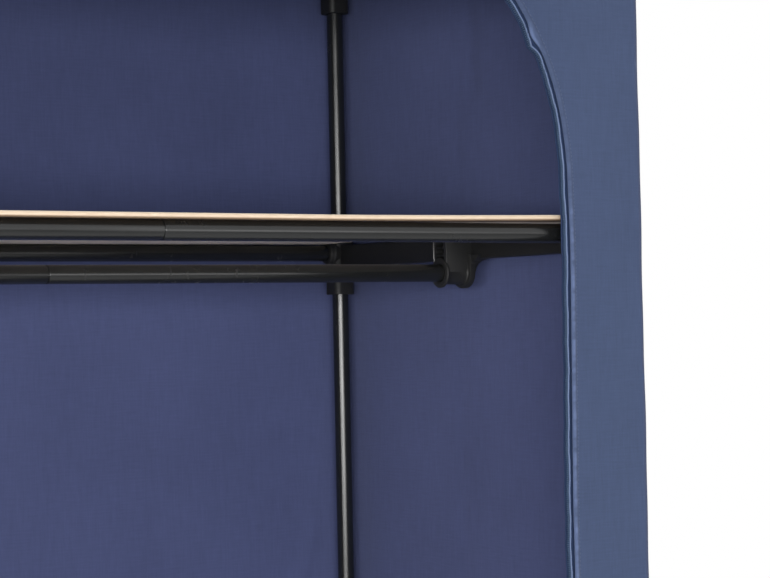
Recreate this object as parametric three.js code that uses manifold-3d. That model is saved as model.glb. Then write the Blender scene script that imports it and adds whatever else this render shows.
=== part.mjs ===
// Portable fabric wardrobe: a push-together tube frame with a shelf, a base board and a hanging rod,
// inside a sewn cloth cover whose arched door is unzipped, rolled up and tied at the header.
// Millimetres, +Z up, front towards -Y. The origin is on the floor, below the middle of the whole outline.

import * as THREE from 'three';
import { mergeVertices } from 'three/addons/utils/BufferGeometryUtils.js';
import Module from 'manifold-3d';

// Driving dimensions of the frame
const frameWidth = 860;
const frameDepth = 420;
const baseRailHeight = 70;
const shelfRailHeight = 1400;
const topRailAboveShelfRail = 283.7;
const tubeDiameter = 16;
const tubeWall = 1;
const touchGap = 0.3;

// Moulded connectors
const sleeveWidth = 23;
const sleeveCornerRadius = 6;
const sleeveReach = 41;
const shelfSleeveRise = 36;
const topSleeveDrop = 44;
const topCapRise = 14.5;
const stopWebThickness = 4;
const shoulderDiameter = 22;
const shoulderReach = 16.6;
const spigotLength = 30;
const couplerDiameter = 21;
const couplerLength = 72;
const footDiameter = 30;
const footHeight = 8;

// Shelf bracket with the cup of the hanging rod
const rodBehindFrontRail = 198;
const rodBelowRail = 26.8;
const beamThickness = 12;
const beamTop = 7.7;
const beamBottom = -14.3;
const cupDiameter = 20.8;
const cupRibDiameter = 28.4;
const cupReach = 37;
const cupMouthRibWidth = 4;
const cupInnerRibWidth = 6;
const cupInnerRibReach = 11;
const cupFloorReach = 9;
const cupFilletRadius = 16;
const cupWebWidth = 16;
const cupWebTop = 4;
const pocketWidth = 9;
const pocketHeight = 4.6;
const pocketDepth = 18;
const pocketWall = 1.8;
const pocketCount = 3;

// Shelf board and base board
const boardThickness = 4.5;
const boardOverhang = 12;
const boardEndClearance = 0.4;

// Cloth cover with its door opening
const clothThickness = 1.5;
const clothStandOff = 7;
const hemHeight = 8;
const openingBesidePost = 64.5;
const headerDepth = 50;
const archSideRadius = 247;
const archSideAngle = THREE.MathUtils.degToRad(50);
const archShoulderRadius = 90;
const panelEdgeOffset = 7;

// Rolled door and its ties
const rollDiameter = 56;
const rollBelowHeader = 10;
const doorFlapHeight = 22;
const tieWidth = 22;
const tieThickness = 1.2;
const tieFromRollEnd = 185.5;

// Zips
const coilSize = 3.2;
const tapeWidth = 14;
const tapeThickness = 1;
const zipStartHeight = 26;
const zipStopLength = 12;
const zipStopWidth = 8;
const zipStopDepth = 5;
const sliderWidth = 9.4;
const sliderLength = 13;
const sliderFrontPlate = 1.8;
const sliderBackPlate = 1.2;
const sliderRunningGap = 0.5;
const earThickness = 1.5;
const earLength = 5;
const earRise = 4.6;
const pullBarDiameter = 2;
const pullBarAbovePlate = 2.7;
const pullEyeDiameter = 3.8;
const pullEyeWidth = 4;
const pullBarPlay = 0.15;
const pullWidth = 8;
const pullThickness = 1.4;
const pullLength = 30;

// Facets of round shapes
const tubeSides = 12;
const cupSides = 20;
const rollSides = 24;
const cornerSteps = 4;
const filletSteps = 6;
const archSideSteps = 14;
const archShoulderSteps = 10;

// Overrun of every cut past the face that it opens
const cutOverrun = 1;

// Places worked out from the sizes above
const postX = frameWidth / 2;
const postY = frameDepth / 2;
const tubeRadius = tubeDiameter / 2;
const boreRadius = tubeRadius + touchGap;
const spigotRadius = tubeRadius - tubeWall - touchGap;
const couplerHeight = (baseRailHeight + shelfRailHeight) / 2;
const topRailHeight = shelfRailHeight + topRailAboveShelfRail;
const stopOffset = stopWebThickness / 2;
const tubeEndOffset = stopOffset + touchGap;
const railEnd = shoulderReach + touchGap;
const clothInnerX = postX + sleeveWidth / 2 + clothStandOff;
const clothInnerY = postY + sleeveWidth / 2 + clothStandOff;
const clothOuterX = clothInnerX + clothThickness;
const clothOuterY = clothInnerY + clothThickness;
const roofUnderside = topRailHeight + topCapRise + touchGap;
const overallHeight = roofUnderside + clothThickness;
const wallTop = roofUnderside - touchGap;
const rodY = -postY + rodBehindFrontRail;
const rodHeight = shelfRailHeight - rodBelowRail;
const openingHalfWidth = postX - openingBesidePost;
const headerHeight = overallHeight - headerDepth;
const archCentreStep = archSideRadius - archShoulderRadius;
const archSpringHeight = headerHeight - archShoulderRadius - archCentreStep * Math.sin(archSideAngle);
const rollRadius = rollDiameter / 2;
const tieInnerRadius = rollRadius + touchGap;
const tieOuterRadius = tieInnerRadius + tieThickness;
const rollY = -clothOuterY - touchGap - tieOuterRadius;
const rollHeight = headerHeight - rollBelowHeader;
const tieX = openingHalfWidth - tieFromRollEnd;
const tapeFrontY = -clothInnerY + touchGap;
const tapeBackY = tapeFrontY + tapeThickness;
const coilBackY = tapeFrontY;
const coilFrontY = coilBackY - coilSize;
const coilX = openingHalfWidth + coilSize / 2;
const sliderBottom = zipStartHeight + zipStopLength / 2 + touchGap;

// The rolled door stands out in front, so the origin lies in front of the middle of the frame
const frameShiftY = (tieOuterRadius - rollY - clothOuterY) / 2;

// Materials
const steelTube = new THREE.MeshStandardMaterial({ color: 0x2a2c2d, roughness: 0.42, metalness: 0.3 });
const blackPlastic = new THREE.MeshStandardMaterial({ color: 0x1e1f20, roughness: 0.6, metalness: 0 });
const paleBoard = new THREE.MeshStandardMaterial({ color: 0xe8d8c4, roughness: 0.7, metalness: 0 });
const blueCloth = new THREE.MeshStandardMaterial({ color: 0x4b5876, roughness: 0.95, metalness: 0 });
const tieCloth = new THREE.MeshStandardMaterial({ color: 0x3a4668, roughness: 0.9, metalness: 0 });
const zipTape = new THREE.MeshStandardMaterial({ color: 0x26385c, roughness: 0.8, metalness: 0 });
const zipMetal = new THREE.MeshStandardMaterial({ color: 0x2c3c5e, roughness: 0.35, metalness: 0.6 });

const wasm = await Module();
wasm.setup();

// A closed geometry as a solid that can be joined and cut
function solidOf(geometry) {
  const bare = geometry.clone();
  bare.deleteAttribute('normal');
  bare.deleteAttribute('uv');
  const merged = mergeVertices(bare);
  return new wasm.Manifold(new wasm.Mesh({
    numProp: 3,
    vertProperties: Float32Array.from(merged.attributes.position.array),
    triVerts: Uint32Array.from(merged.index.array),
  }));
}

function geometryOf(solid) {
  const mesh = solid.getMesh();
  const geometry = new THREE.BufferGeometry();
  geometry.setAttribute('position', new THREE.Float32BufferAttribute(mesh.vertProperties, 3));
  geometry.setIndex(new THREE.Uint32BufferAttribute(mesh.triVerts, 1));
  geometry.computeVertexNormals();
  return geometry;
}

// A box between two opposite corners
function box(from, to) {
  const size = to.map((value, i) => Math.abs(value - from[i]));
  const middle = to.map((value, i) => (value + from[i]) / 2);
  return solidOf(new THREE.BoxGeometry(...size).translate(...middle));
}

// A round bar along 'x', 'y' or 'z', from start to end; at gives its axis in the other two directions
function bar(axis, radius, start, end, at = [0, 0, 0], sides = tubeSides) {
  const geometry = new THREE.CylinderGeometry(radius, radius, Math.abs(end - start), sides);
  geometry.translate(0, (start + end) / 2, 0);
  if (axis === 'x') geometry.rotateZ(-Math.PI / 2);
  if (axis === 'z') geometry.rotateX(Math.PI / 2);
  return solidOf(geometry.translate(...at));
}

// A shape drawn in x and z, given its thickness in y from the front face to the back face
function uprightPlate(shape, frontY, backY) {
  const basis = new THREE.Matrix4().makeBasis(
    new THREE.Vector3(1, 0, 0),
    new THREE.Vector3(0, 0, 1),
    new THREE.Vector3(0, -1, 0),
  );
  const geometry = new THREE.ExtrudeGeometry(shape, { depth: backY - frontY, bevelEnabled: false });
  return solidOf(geometry.applyMatrix4(basis).translate(0, backY, 0));
}

// A shape drawn in y and z, given its thickness in x
function sidePlate(shape, fromX, toX) {
  const basis = new THREE.Matrix4().makeBasis(
    new THREE.Vector3(0, 1, 0),
    new THREE.Vector3(0, 0, 1),
    new THREE.Vector3(1, 0, 0),
  );
  const lowX = Math.min(fromX, toX);
  const options = { depth: Math.abs(toX - fromX), bevelEnabled: false };
  return solidOf(new THREE.ExtrudeGeometry(shape, options).applyMatrix4(basis).translate(lowX, 0, 0));
}

// An upright prism with a rounded square section round the post axis
function roundedSleeve(bottom, top) {
  const half = sleeveWidth / 2;
  const straight = half - sleeveCornerRadius;
  const shape = new THREE.Shape();
  shape.absarc(straight, straight, sleeveCornerRadius, 0, Math.PI / 2);
  shape.absarc(-straight, straight, sleeveCornerRadius, Math.PI / 2, Math.PI);
  shape.absarc(-straight, -straight, sleeveCornerRadius, Math.PI, Math.PI * 1.5);
  shape.absarc(straight, -straight, sleeveCornerRadius, Math.PI * 1.5, Math.PI * 2);
  const options = { depth: top - bottom, bevelEnabled: false, curveSegments: cornerSteps };
  return solidOf(new THREE.ExtrudeGeometry(shape, options).translate(0, 0, bottom));
}

// A shoulder that the end of a rail stops at, with a spigot that the rail is pushed over
function railSocket(axis, direction) {
  const shoulder = bar(axis, shoulderDiameter / 2, 0, direction * shoulderReach);
  return shoulder.add(bar(axis, spigotRadius, 0, direction * (shoulderReach + spigotLength)));
}

// A tube with an optional swaged end that enters the next tube; it runs from start to end along its axis
function tube(axis, start, end, swagedEnd = false) {
  let wall = bar(axis, tubeRadius, start, end);
  let hollow = bar(axis, tubeRadius - tubeWall, start - cutOverrun, end + cutOverrun);
  if (swagedEnd) {
    wall = wall.add(bar(axis, spigotRadius, end - cutOverrun, end + spigotLength));
    hollow = bar(axis, tubeRadius - tubeWall, start - cutOverrun, end - tubeWall);
    hollow = hollow.add(bar(axis, spigotRadius - tubeWall, start, end + spigotLength + cutOverrun));
  }
  return wall.subtract(hollow);
}

// Base connector: a leg with a round foot, sockets for two base rails and a sleeve for the post
function baseConnector(inwardX, inwardY) {
  const floor = -baseRailHeight;
  const footTop = floor + footHeight;
  return roundedSleeve(footTop, sleeveReach)
    .add(bar('z', footDiameter / 2, floor, footTop))
    .add(railSocket('x', inwardX))
    .add(railSocket('y', inwardY))
    .subtract(bar('z', boreRadius, stopOffset, sleeveReach + cutOverrun));
}

// Top connector: sockets for two top rails and a sleeve over the end of the post, closed on top
function topConnector(inwardX, inwardY) {
  return roundedSleeve(-topSleeveDrop, topCapRise)
    .add(railSocket('x', inwardX))
    .add(railSocket('y', inwardY))
    .subtract(bar('z', boreRadius, -topSleeveDrop - cutOverrun, -stopOffset));
}

// Coupler: a plain sleeve with a stop in the middle, which joins two lengths of post
function couplerSolid() {
  const half = couplerLength / 2;
  return bar('z', couplerDiameter / 2, -half, half)
    .subtract(bar('z', boreRadius, stopOffset, half + cutOverrun))
    .subtract(bar('z', boreRadius, -half - cutOverrun, -stopOffset));
}

// Outline of the bracket's beam in y and z, from the front post to the rear post, with its cup bulge
function beamOutline() {
  const ribRadius = cupRibDiameter / 2;
  const filletHeight = beamBottom - cupFilletRadius;
  const centreDistance = ribRadius + cupFilletRadius;
  const rise = filletHeight + rodBelowRail;
  const filletSide = Math.sqrt(centreDistance ** 2 - rise ** 2);
  const meetAngle = Math.atan2(rise, filletSide);
  const shape = new THREE.Shape();
  shape.moveTo(-postY, beamTop);
  shape.lineTo(-postY, beamBottom);
  shape.lineTo(rodY - filletSide, beamBottom);
  shape.absarc(rodY - filletSide, filletHeight, cupFilletRadius, Math.PI / 2, -meetAngle, true);
  shape.absarc(rodY, -rodBelowRail, ribRadius, Math.PI - meetAngle, meetAngle, false);
  shape.absarc(rodY + filletSide, filletHeight, cupFilletRadius, Math.PI + meetAngle, Math.PI / 2, true);
  shape.lineTo(postY, beamBottom);
  shape.lineTo(postY, beamTop);
  return new THREE.Shape(shape.getPoints(filletSteps));
}

// Cup that holds the end of the hanging rod, with its ribs, its web and the web's lightening pockets
function rodCup(side) {
  const inward = (reach) => -side * reach;
  const at = [0, rodY, -rodBelowRail];
  const ribRadius = cupRibDiameter / 2;
  const mouthRibEnd = cupReach - cupMouthRibWidth;
  const innerRibEnd = cupInnerRibReach - cupInnerRibWidth;
  const webSide = cupWebWidth / 2;
  let cup = bar('x', cupDiameter / 2, inward(cupReach), 0, at, cupSides)
    .add(bar('x', ribRadius, inward(cupReach), inward(mouthRibEnd), at, cupSides))
    .add(bar('x', ribRadius, inward(cupInnerRibReach), inward(innerRibEnd), at, cupSides))
    .add(box([inward(cupReach), rodY - webSide, -rodBelowRail], [0, rodY + webSide, cupWebTop]));
  for (let i = 0; i < pocketCount; i += 1) {
    const top = cupWebTop - pocketWall - i * (pocketHeight + pocketWall);
    const low = [inward(cupReach + cutOverrun), rodY - pocketWidth / 2, top - pocketHeight];
    const high = [inward(cupReach - pocketDepth), rodY + pocketWidth / 2, top];
    cup = cup.subtract(box(low, high));
  }
  return cup;
}

// Shelf bracket: one moulding from the front post to the rear post, at the level of the shelf rails
function shelfBracket(side) {
  let body = sidePlate(beamOutline(), -beamThickness / 2, beamThickness / 2).add(rodCup(side));
  for (const y of [-postY, postY]) {
    const socket = railSocket('x', -side).translate([0, y, 0]);
    body = body.add(roundedSleeve(-sleeveReach, shelfSleeveRise).translate([0, y, 0])).add(socket);
  }
  for (const y of [-postY, postY]) {
    body = body
      .subtract(bar('z', boreRadius, stopOffset, shelfSleeveRise + cutOverrun, [0, y, 0]))
      .subtract(bar('z', boreRadius, -sleeveReach - cutOverrun, -stopOffset, [0, y, 0]));
  }
  const rodBoreStart = -side * (cupReach + cutOverrun);
  return body.subtract(bar('x', boreRadius, rodBoreStart, -side * cupFloorReach, [0, rodY, -rodBelowRail]));
}

// A board that lies on a front rail and a rear rail
function boardSolid(railHeight) {
  const halfX = postX - shoulderReach - boardEndClearance;
  const halfY = postY + boardOverhang;
  const bottom = railHeight + tubeRadius + touchGap;
  return box([-halfX, -halfY, bottom], [halfX, halfY, bottom + boardThickness]);
}

// One side of the door opening's edge, from the hem to the header, moved outwards by offset
function archSide(offset, startHeight, side) {
  const centreX = openingHalfWidth - archSideRadius;
  const shoulderX = centreX + archCentreStep * Math.cos(archSideAngle);
  const shoulderZ = headerHeight - archShoulderRadius;
  const points = [new THREE.Vector2(side * (openingHalfWidth + offset), startHeight)];
  for (let i = 0; i <= archSideSteps; i += 1) {
    const angle = archSideAngle * i / archSideSteps;
    const x = centreX + (archSideRadius + offset) * Math.cos(angle);
    const z = archSpringHeight + (archSideRadius + offset) * Math.sin(angle);
    points.push(new THREE.Vector2(side * x, z));
  }
  for (let i = 1; i <= archShoulderSteps; i += 1) {
    const angle = archSideAngle + (Math.PI / 2 - archSideAngle) * i / archShoulderSteps;
    const x = shoulderX + (archShoulderRadius + offset) * Math.cos(angle);
    const z = shoulderZ + (archShoulderRadius + offset) * Math.sin(angle);
    points.push(new THREE.Vector2(side * x, z));
  }
  return points;
}

// Front of the cover: one cloth with the arched door opening, open down to the hem
function coverFront() {
  const right = archSide(panelEdgeOffset, hemHeight, 1);
  const left = archSide(panelEdgeOffset, hemHeight, -1);
  const shape = new THREE.Shape([
    new THREE.Vector2(clothOuterX, hemHeight),
    new THREE.Vector2(clothOuterX, wallTop),
    new THREE.Vector2(-clothOuterX, wallTop),
    new THREE.Vector2(-clothOuterX, hemHeight),
    ...left,
    ...right.reverse(),
  ]);
  return uprightPlate(shape, -clothOuterY, -clothInnerY);
}

function coverBack() {
  return box([-clothOuterX, clothInnerY, hemHeight], [clothOuterX, clothOuterY, wallTop]);
}

function coverSide(side) {
  const endY = clothInnerY - touchGap;
  return box([side * clothInnerX, -endY, hemHeight], [side * clothOuterX, endY, wallTop]);
}

function coverRoof() {
  return box([-clothOuterX, -clothOuterY, roofUnderside], [clothOuterX, clothOuterY, overallHeight]);
}

// Half the width of the header's straight edge and its height, moved outwards by offset
function headerEdge(offset) {
  const edge = archSide(offset, hemHeight, 1);
  return edge[edge.length - 1];
}

// The cloth between the roll and the door's flap, made larger by grow on every side
function rollSeam(grow) {
  const halfWidth = headerEdge(0).x;
  const flapBottom = headerEdge(panelEdgeOffset).y - doorFlapHeight;
  const frontY = rollY + rollRadius - clothThickness;
  const low = [-halfWidth - grow, frontY - grow, flapBottom - grow];
  return box(low, [halfWidth + grow, -clothInnerY, rollHeight + clothThickness + grow]);
}

// The door cloth, rolled up outside the header, with the flap that is sewn to the header's edge
function doorRoll() {
  const halfWidth = headerEdge(0).x;
  const flapTop = headerEdge(panelEdgeOffset).y - touchGap;
  const flapBottom = headerEdge(panelEdgeOffset).y - doorFlapHeight;
  const flap = box([-halfWidth, -clothOuterY, flapBottom], [halfWidth, -clothInnerY, flapTop]);
  const at = [0, rollY, rollHeight];
  const roll = bar('x', rollRadius, -openingHalfWidth, openingHalfWidth, at, rollSides);
  return roll.add(rollSeam(0)).add(flap);
}

// A tie: a band of cloth round the rolled door, with both ends sewn in at the door's seam
function doorTie(x) {
  const at = [0, rollY, rollHeight];
  const from = x - tieWidth / 2;
  const to = x + tieWidth / 2;
  return bar('x', tieOuterRadius, from, to, at, rollSides)
    .subtract(bar('x', tieInnerRadius, from - cutOverrun, to + cutOverrun, at, rollSides))
    .subtract(rollSeam(touchGap));
}

// Zip half on the front panel: the tape behind the panel's edge, the coil and the stop at its foot
function zipSolid(side) {
  const ribbon = (inner, outer) => new THREE.Shape([
    ...archSide(inner, zipStartHeight, side),
    ...archSide(outer, zipStartHeight, side).reverse(),
  ]);
  const coil = uprightPlate(ribbon(0, coilSize), coilFrontY, coilBackY + tapeThickness / 2);
  const tape = uprightPlate(ribbon(0, tapeWidth), tapeFrontY, tapeBackY);
  const stopMiddle = (coilFrontY + tapeBackY) / 2;
  const stopLow = [side * (coilX - zipStopWidth / 2), stopMiddle - zipStopDepth / 2];
  const stopHigh = [side * (coilX + zipStopWidth / 2), stopMiddle + zipStopDepth / 2];
  const stopBottom = zipStartHeight - zipStopLength / 2;
  return coil.add(tape).add(box([...stopLow, stopBottom], [...stopHigh, stopBottom + zipStopLength]));
}

// Zip slider: two plates joined on the door's side, open for the tape, with ears and a bar for the pull
function zipSlider(side) {
  const backY = tapeBackY + sliderRunningGap + sliderBackPlate;
  const plateY = coilFrontY - sliderRunningGap - sliderFrontPlate;
  const bottom = sliderBottom;
  const top = bottom + sliderLength;
  const middle = (bottom + top) / 2;
  const innerX = coilX - sliderWidth / 2;
  const outerX = coilX + sliderWidth / 2;
  const earInnerX = pullEyeWidth / 2 + pullBarPlay;
  const earOuterX = earInnerX + earThickness;
  const coilLow = [side * (openingHalfWidth - sliderRunningGap), coilFrontY - sliderRunningGap];
  const coilHigh = [side * (openingHalfWidth + coilSize + sliderRunningGap), tapeBackY + sliderRunningGap];
  const slotLow = [side * coilX, tapeFrontY - sliderRunningGap];
  const slotHigh = [side * (outerX + cutOverrun), tapeBackY + sliderRunningGap];
  let body = box([side * innerX, plateY, bottom], [side * outerX, backY, top])
    .subtract(box([...coilLow, bottom - cutOverrun], [...coilHigh, top + cutOverrun]))
    .subtract(box([...slotLow, bottom - cutOverrun], [...slotHigh, top + cutOverrun]));
  for (const ear of [-1, 1]) {
    const earLow = [side * coilX + ear * earInnerX, plateY - earRise, middle - earLength / 2];
    const earHigh = [side * coilX + ear * earOuterX, plateY + sliderFrontPlate / 2, middle + earLength / 2];
    body = body.add(box(earLow, earHigh));
  }
  const barAt = [side * coilX, plateY - pullBarAbovePlate, middle];
  return body.add(bar('x', pullBarDiameter / 2, -earOuterX, earOuterX, barAt));
}

// Pull tab: an eye round the slider's bar and a flat tab that hangs from it
function zipPull(side) {
  const plateY = coilFrontY - sliderRunningGap - sliderFrontPlate;
  const middle = sliderBottom + sliderLength / 2;
  const barY = plateY - pullBarAbovePlate;
  const at = [side * coilX, barY, middle];
  const eyeRadius = pullEyeDiameter / 2;
  const boreRadiusOfEye = pullBarDiameter / 2 + pullBarPlay;
  const halfThickness = pullThickness / 2;
  const neckSide = pullEyeWidth / 2;
  const earSweep = Math.hypot(earLength / 2, earRise - pullBarAbovePlate);
  const tabTop = middle - earSweep - sliderRunningGap;
  const neckLow = [side * coilX - neckSide, barY - halfThickness, tabTop - sliderRunningGap];
  const neck = box(neckLow, [side * coilX + neckSide, barY + halfThickness, middle]);
  const tabLow = [side * coilX - pullWidth / 2, barY - halfThickness, middle - pullLength];
  const tab = box(tabLow, [side * coilX + pullWidth / 2, barY + halfThickness, tabTop]);
  return bar('x', eyeRadius, -neckSide, neckSide, at)
    .add(neck)
    .add(tab)
    .subtract(bar('x', boreRadiusOfEye, -neckSide - cutOverrun, neckSide + cutOverrun, at));
}

// Assembly
const wardrobe = new THREE.Group();
wardrobe.position.y = frameShiftY;

function place(name, solid, material, x = 0, y = 0, z = 0) {
  const mesh = new THREE.Mesh(geometryOf(solid), material);
  mesh.name = name;
  mesh.position.set(x, y, z);
  wardrobe.add(mesh);
}

const corners = [
  { name: 'front_left', x: -postX, y: -postY },
  { name: 'front_right', x: postX, y: -postY },
  { name: 'rear_left', x: -postX, y: postY },
  { name: 'rear_right', x: postX, y: postY },
];
const sides = [
  { name: 'left', side: -1 },
  { name: 'right', side: 1 },
];
const rows = [
  { name: 'front', y: -postY },
  { name: 'rear', y: postY },
];

for (const { name, x, y } of corners) {
  const inwardX = -Math.sign(x);
  const inwardY = -Math.sign(y);
  const lowerPost = tube('z', baseRailHeight + tubeEndOffset, couplerHeight - tubeEndOffset);
  const middlePost = tube('z', couplerHeight + tubeEndOffset, shelfRailHeight - tubeEndOffset);
  const upperPost = tube('z', shelfRailHeight + tubeEndOffset, topRailHeight - tubeEndOffset);
  place(`base_connector_${name}`, baseConnector(inwardX, inwardY), blackPlastic, x, y, baseRailHeight);
  place(`post_lower_${name}`, lowerPost, steelTube, x, y);
  place(`post_coupler_${name}`, couplerSolid(), blackPlastic, x, y, couplerHeight);
  place(`post_middle_${name}`, middlePost, steelTube, x, y);
  place(`post_upper_${name}`, upperPost, steelTube, x, y);
  place(`top_connector_${name}`, topConnector(inwardX, inwardY), blackPlastic, x, y, topRailHeight);
}

// Rails in two halves: the left half's swaged end enters the right half at the seam in the middle
const leftRail = tube('x', -postX + railEnd, -touchGap / 2, true);
const rightRail = tube('x', touchGap / 2, postX - railEnd);
const levels = [
  { name: 'base', height: baseRailHeight },
  { name: 'shelf', height: shelfRailHeight },
  { name: 'top', height: topRailHeight },
];
for (const level of levels) {
  for (const row of rows) {
    place(`${level.name}_rail_${row.name}_left`, leftRail, steelTube, 0, row.y, level.height);
    place(`${level.name}_rail_${row.name}_right`, rightRail, steelTube, 0, row.y, level.height);
  }
}

const sideTube = tube('y', -postY + railEnd, postY - railEnd);
const rodEnd = postX - cupFloorReach - touchGap;
place('hanging_rod_left', tube('x', -rodEnd, -touchGap / 2, true), steelTube, 0, rodY, rodHeight);
place('hanging_rod_right', tube('x', touchGap / 2, rodEnd), steelTube, 0, rodY, rodHeight);
for (const { name, side } of sides) {
  place(`base_side_tube_${name}`, sideTube, steelTube, side * postX, 0, baseRailHeight);
  place(`top_side_tube_${name}`, sideTube, steelTube, side * postX, 0, topRailHeight);
  place(`shelf_bracket_${name}`, shelfBracket(side), blackPlastic, side * postX, 0, shelfRailHeight);
}

place('base_board', boardSolid(baseRailHeight), paleBoard);
place('shelf_board', boardSolid(shelfRailHeight), paleBoard);

place('cover_back', coverBack(), blueCloth);
place('cover_front', coverFront(), blueCloth);
place('cover_roof', coverRoof(), blueCloth);
place('door_roll', doorRoll(), blueCloth);

for (const { name, side } of sides) {
  place(`cover_side_${name}`, coverSide(side), blueCloth);
  place(`door_tie_${name}`, doorTie(side * tieX), tieCloth);
  place(`zip_${name}`, zipSolid(side), zipTape);
  place(`zip_slider_${name}`, zipSlider(side), zipMetal);
  place(`zip_pull_${name}`, zipPull(side), zipMetal);
}

export default wardrobe;
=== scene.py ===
"""Portable fabric wardrobe: a push-together frame of black tube inside a sewn cloth cover, its arched door
unzipped, rolled up and tied. Metres, +Z up, front towards -Y; every piece stands where its CAD node is."""

import math

import bmesh
import bpy
import numpy as np
from mathutils import Matrix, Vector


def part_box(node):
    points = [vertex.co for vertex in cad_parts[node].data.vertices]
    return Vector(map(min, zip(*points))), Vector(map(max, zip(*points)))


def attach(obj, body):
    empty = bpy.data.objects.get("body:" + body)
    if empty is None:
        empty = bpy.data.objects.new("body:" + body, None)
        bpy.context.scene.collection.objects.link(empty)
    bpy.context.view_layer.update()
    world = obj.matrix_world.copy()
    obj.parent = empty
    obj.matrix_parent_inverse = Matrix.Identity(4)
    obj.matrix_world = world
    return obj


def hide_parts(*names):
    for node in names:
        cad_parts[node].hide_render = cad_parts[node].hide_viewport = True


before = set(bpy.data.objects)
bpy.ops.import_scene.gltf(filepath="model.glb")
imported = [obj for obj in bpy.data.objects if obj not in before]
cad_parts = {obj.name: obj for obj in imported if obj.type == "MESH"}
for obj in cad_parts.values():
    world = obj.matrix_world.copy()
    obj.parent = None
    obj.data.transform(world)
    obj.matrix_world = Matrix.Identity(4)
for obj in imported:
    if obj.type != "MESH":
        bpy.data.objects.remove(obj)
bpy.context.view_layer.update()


# The studio: a pale floor that fades into white, soft lights in front of the open side, weaker ones for the
# other sides, and a dim even world. The camera stands at the front left, a little below the shelf, and looks
# in at the rear right corner.

scene = bpy.context.scene
scene.view_settings.view_transform = "Standard"


def linked(name, data):
    """A new object in the scene that holds the data."""
    thing = bpy.data.objects.new(name, data)
    scene.collection.objects.link(thing)
    return thing


def unit(vectors):
    """The directions of vectors, each with a length of 1."""
    return vectors / np.linalg.norm(vectors, axis=-1, keepdims=True)


def placed(thing, place, *axes):
    """Puts an object at a place, with its own three axes along the given directions."""
    thing.matrix_world = Matrix.Translation(place) @ Matrix(np.column_stack(axes).tolist()).to_4x4()


camera_data = bpy.data.cameras.new("camera")
camera_data.sensor_width = 36
camera_data.lens = 108.52
camera_data.clip_end = 60
camera = linked("camera", camera_data)
look = np.array([0.55879, 0.82910, 0.01884])
overhead = np.array([0.00698, -0.02741, 0.99960])
sideways = unit(np.cross(look, overhead))
placed(camera, (-0.8304, -1.7106, 1.3198), sideways, np.cross(sideways, look), -look)
scene.camera = camera


def soft_light(name, place, target, width, height, power):
    """A flat soft light that faces its target and isn't seen by the camera itself."""
    data = bpy.data.lights.new(name, "AREA")
    data.shape = "RECTANGLE"
    data.size = width
    data.size_y = height
    data.energy = power
    away = unit(np.subtract(place, target))
    across = unit(np.cross((0, 0, 1), away))
    light = linked(name, data)
    placed(light, place, across, np.cross(away, across), away)
    light.visible_camera = False


soft_light("camera_side_light", (-2.02, -3.53, 1.30), (0.43, 0.24, 1.40), 1.9, 0.8, 92)
soft_light("front_light", (-0.40, -3.7, 1.22), (0.10, 0.24, 1.30), 1.2, 0.8, 18)
soft_light("left_front_light", (-3.6, -2.2, 1.30), (0.43, 0.10, 1.40), 1.5, 0.9, 60)
soft_light("front_right_light", (1.25, -2.9, 1.24), (0.1, 0.0, 1.30), 1.5, 0.75, 8)
soft_light("top_light", (0.0, -0.6, 4.2), (0.0, 0.0, 0.8), 3.2, 3.2, 38)
soft_light("back_light", (3.1, 2.6, 1.7), (0.0, 0.2, 0.9), 2.0, 2.0, 170)
soft_light("left_light", (-3.6, 0.9, 1.5), (-0.4, 0.1, 0.9), 2.0, 2.0, 10)
soft_light("right_light", (3.4, -1.6, 1.5), (0.4, 0.1, 0.9), 1.6, 2.0, 9)


def set_inputs(tree, thing, inputs):
    """Gives the inputs of a node their values, or links other sockets into them."""
    for key, value in dict(inputs).items():
        if isinstance(value, bpy.types.NodeSocket):
            tree.links.new(value, thing.inputs[key])
        else:
            thing.inputs[key].default_value = value


def add_node(tree, kind, inputs=(), **settings):
    """A new shader node with its settings, and its inputs set or linked."""
    made = tree.nodes.new("ShaderNode" + kind)
    for name, value in settings.items():
        setattr(made, name, value)
    set_inputs(tree, made, inputs)
    return made


def reckon(tree, operation, *values):
    """One step of arithmetic; returns its result."""
    return add_node(tree, "Math", enumerate(values), operation=operation).outputs[0]


def between(tree, value, low, high):
    """0 at low and 1 at high, clamped and smooth."""
    span = {"Value": value, "From Min": low, "From Max": high}
    return add_node(tree, "MapRange", span, interpolation_type="SMOOTHSTEP").outputs[0]


def new_finish(name):
    """A new material: itself, its node tree and its main shader."""
    finish = bpy.data.materials.new(name)
    finish.use_nodes = True
    return finish, finish.node_tree, finish.node_tree.nodes["Principled BSDF"]


def object_place(tree):
    """The place on the object itself, in metres."""
    return add_node(tree, "TexCoord").outputs["Object"]


world = bpy.data.worlds.new("pale_world")
scene.world = world
world.use_nodes = True
sky = world.node_tree
sky.nodes.clear()
rays = add_node(sky, "LightPath").outputs
seen = reckon(sky, "MAXIMUM", rays["Is Camera Ray"], rays["Is Glossy Ray"])
seen = reckon(sky, "MAXIMUM", seen, rays["Is Transmission Ray"])
fill_sky = add_node(sky, "Background", {"Color": (0.97, 0.985, 1.0, 1), "Strength": 0.18})
white_sky = add_node(sky, "Background", {"Color": (1, 1, 1, 1), "Strength": 1})
either_sky = add_node(sky, "MixShader", {"Fac": seen, 1: fill_sky.outputs[0], 2: white_sky.outputs[0]})
add_node(sky, "OutputWorld", {"Surface": either_sky.outputs[0]})

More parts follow.
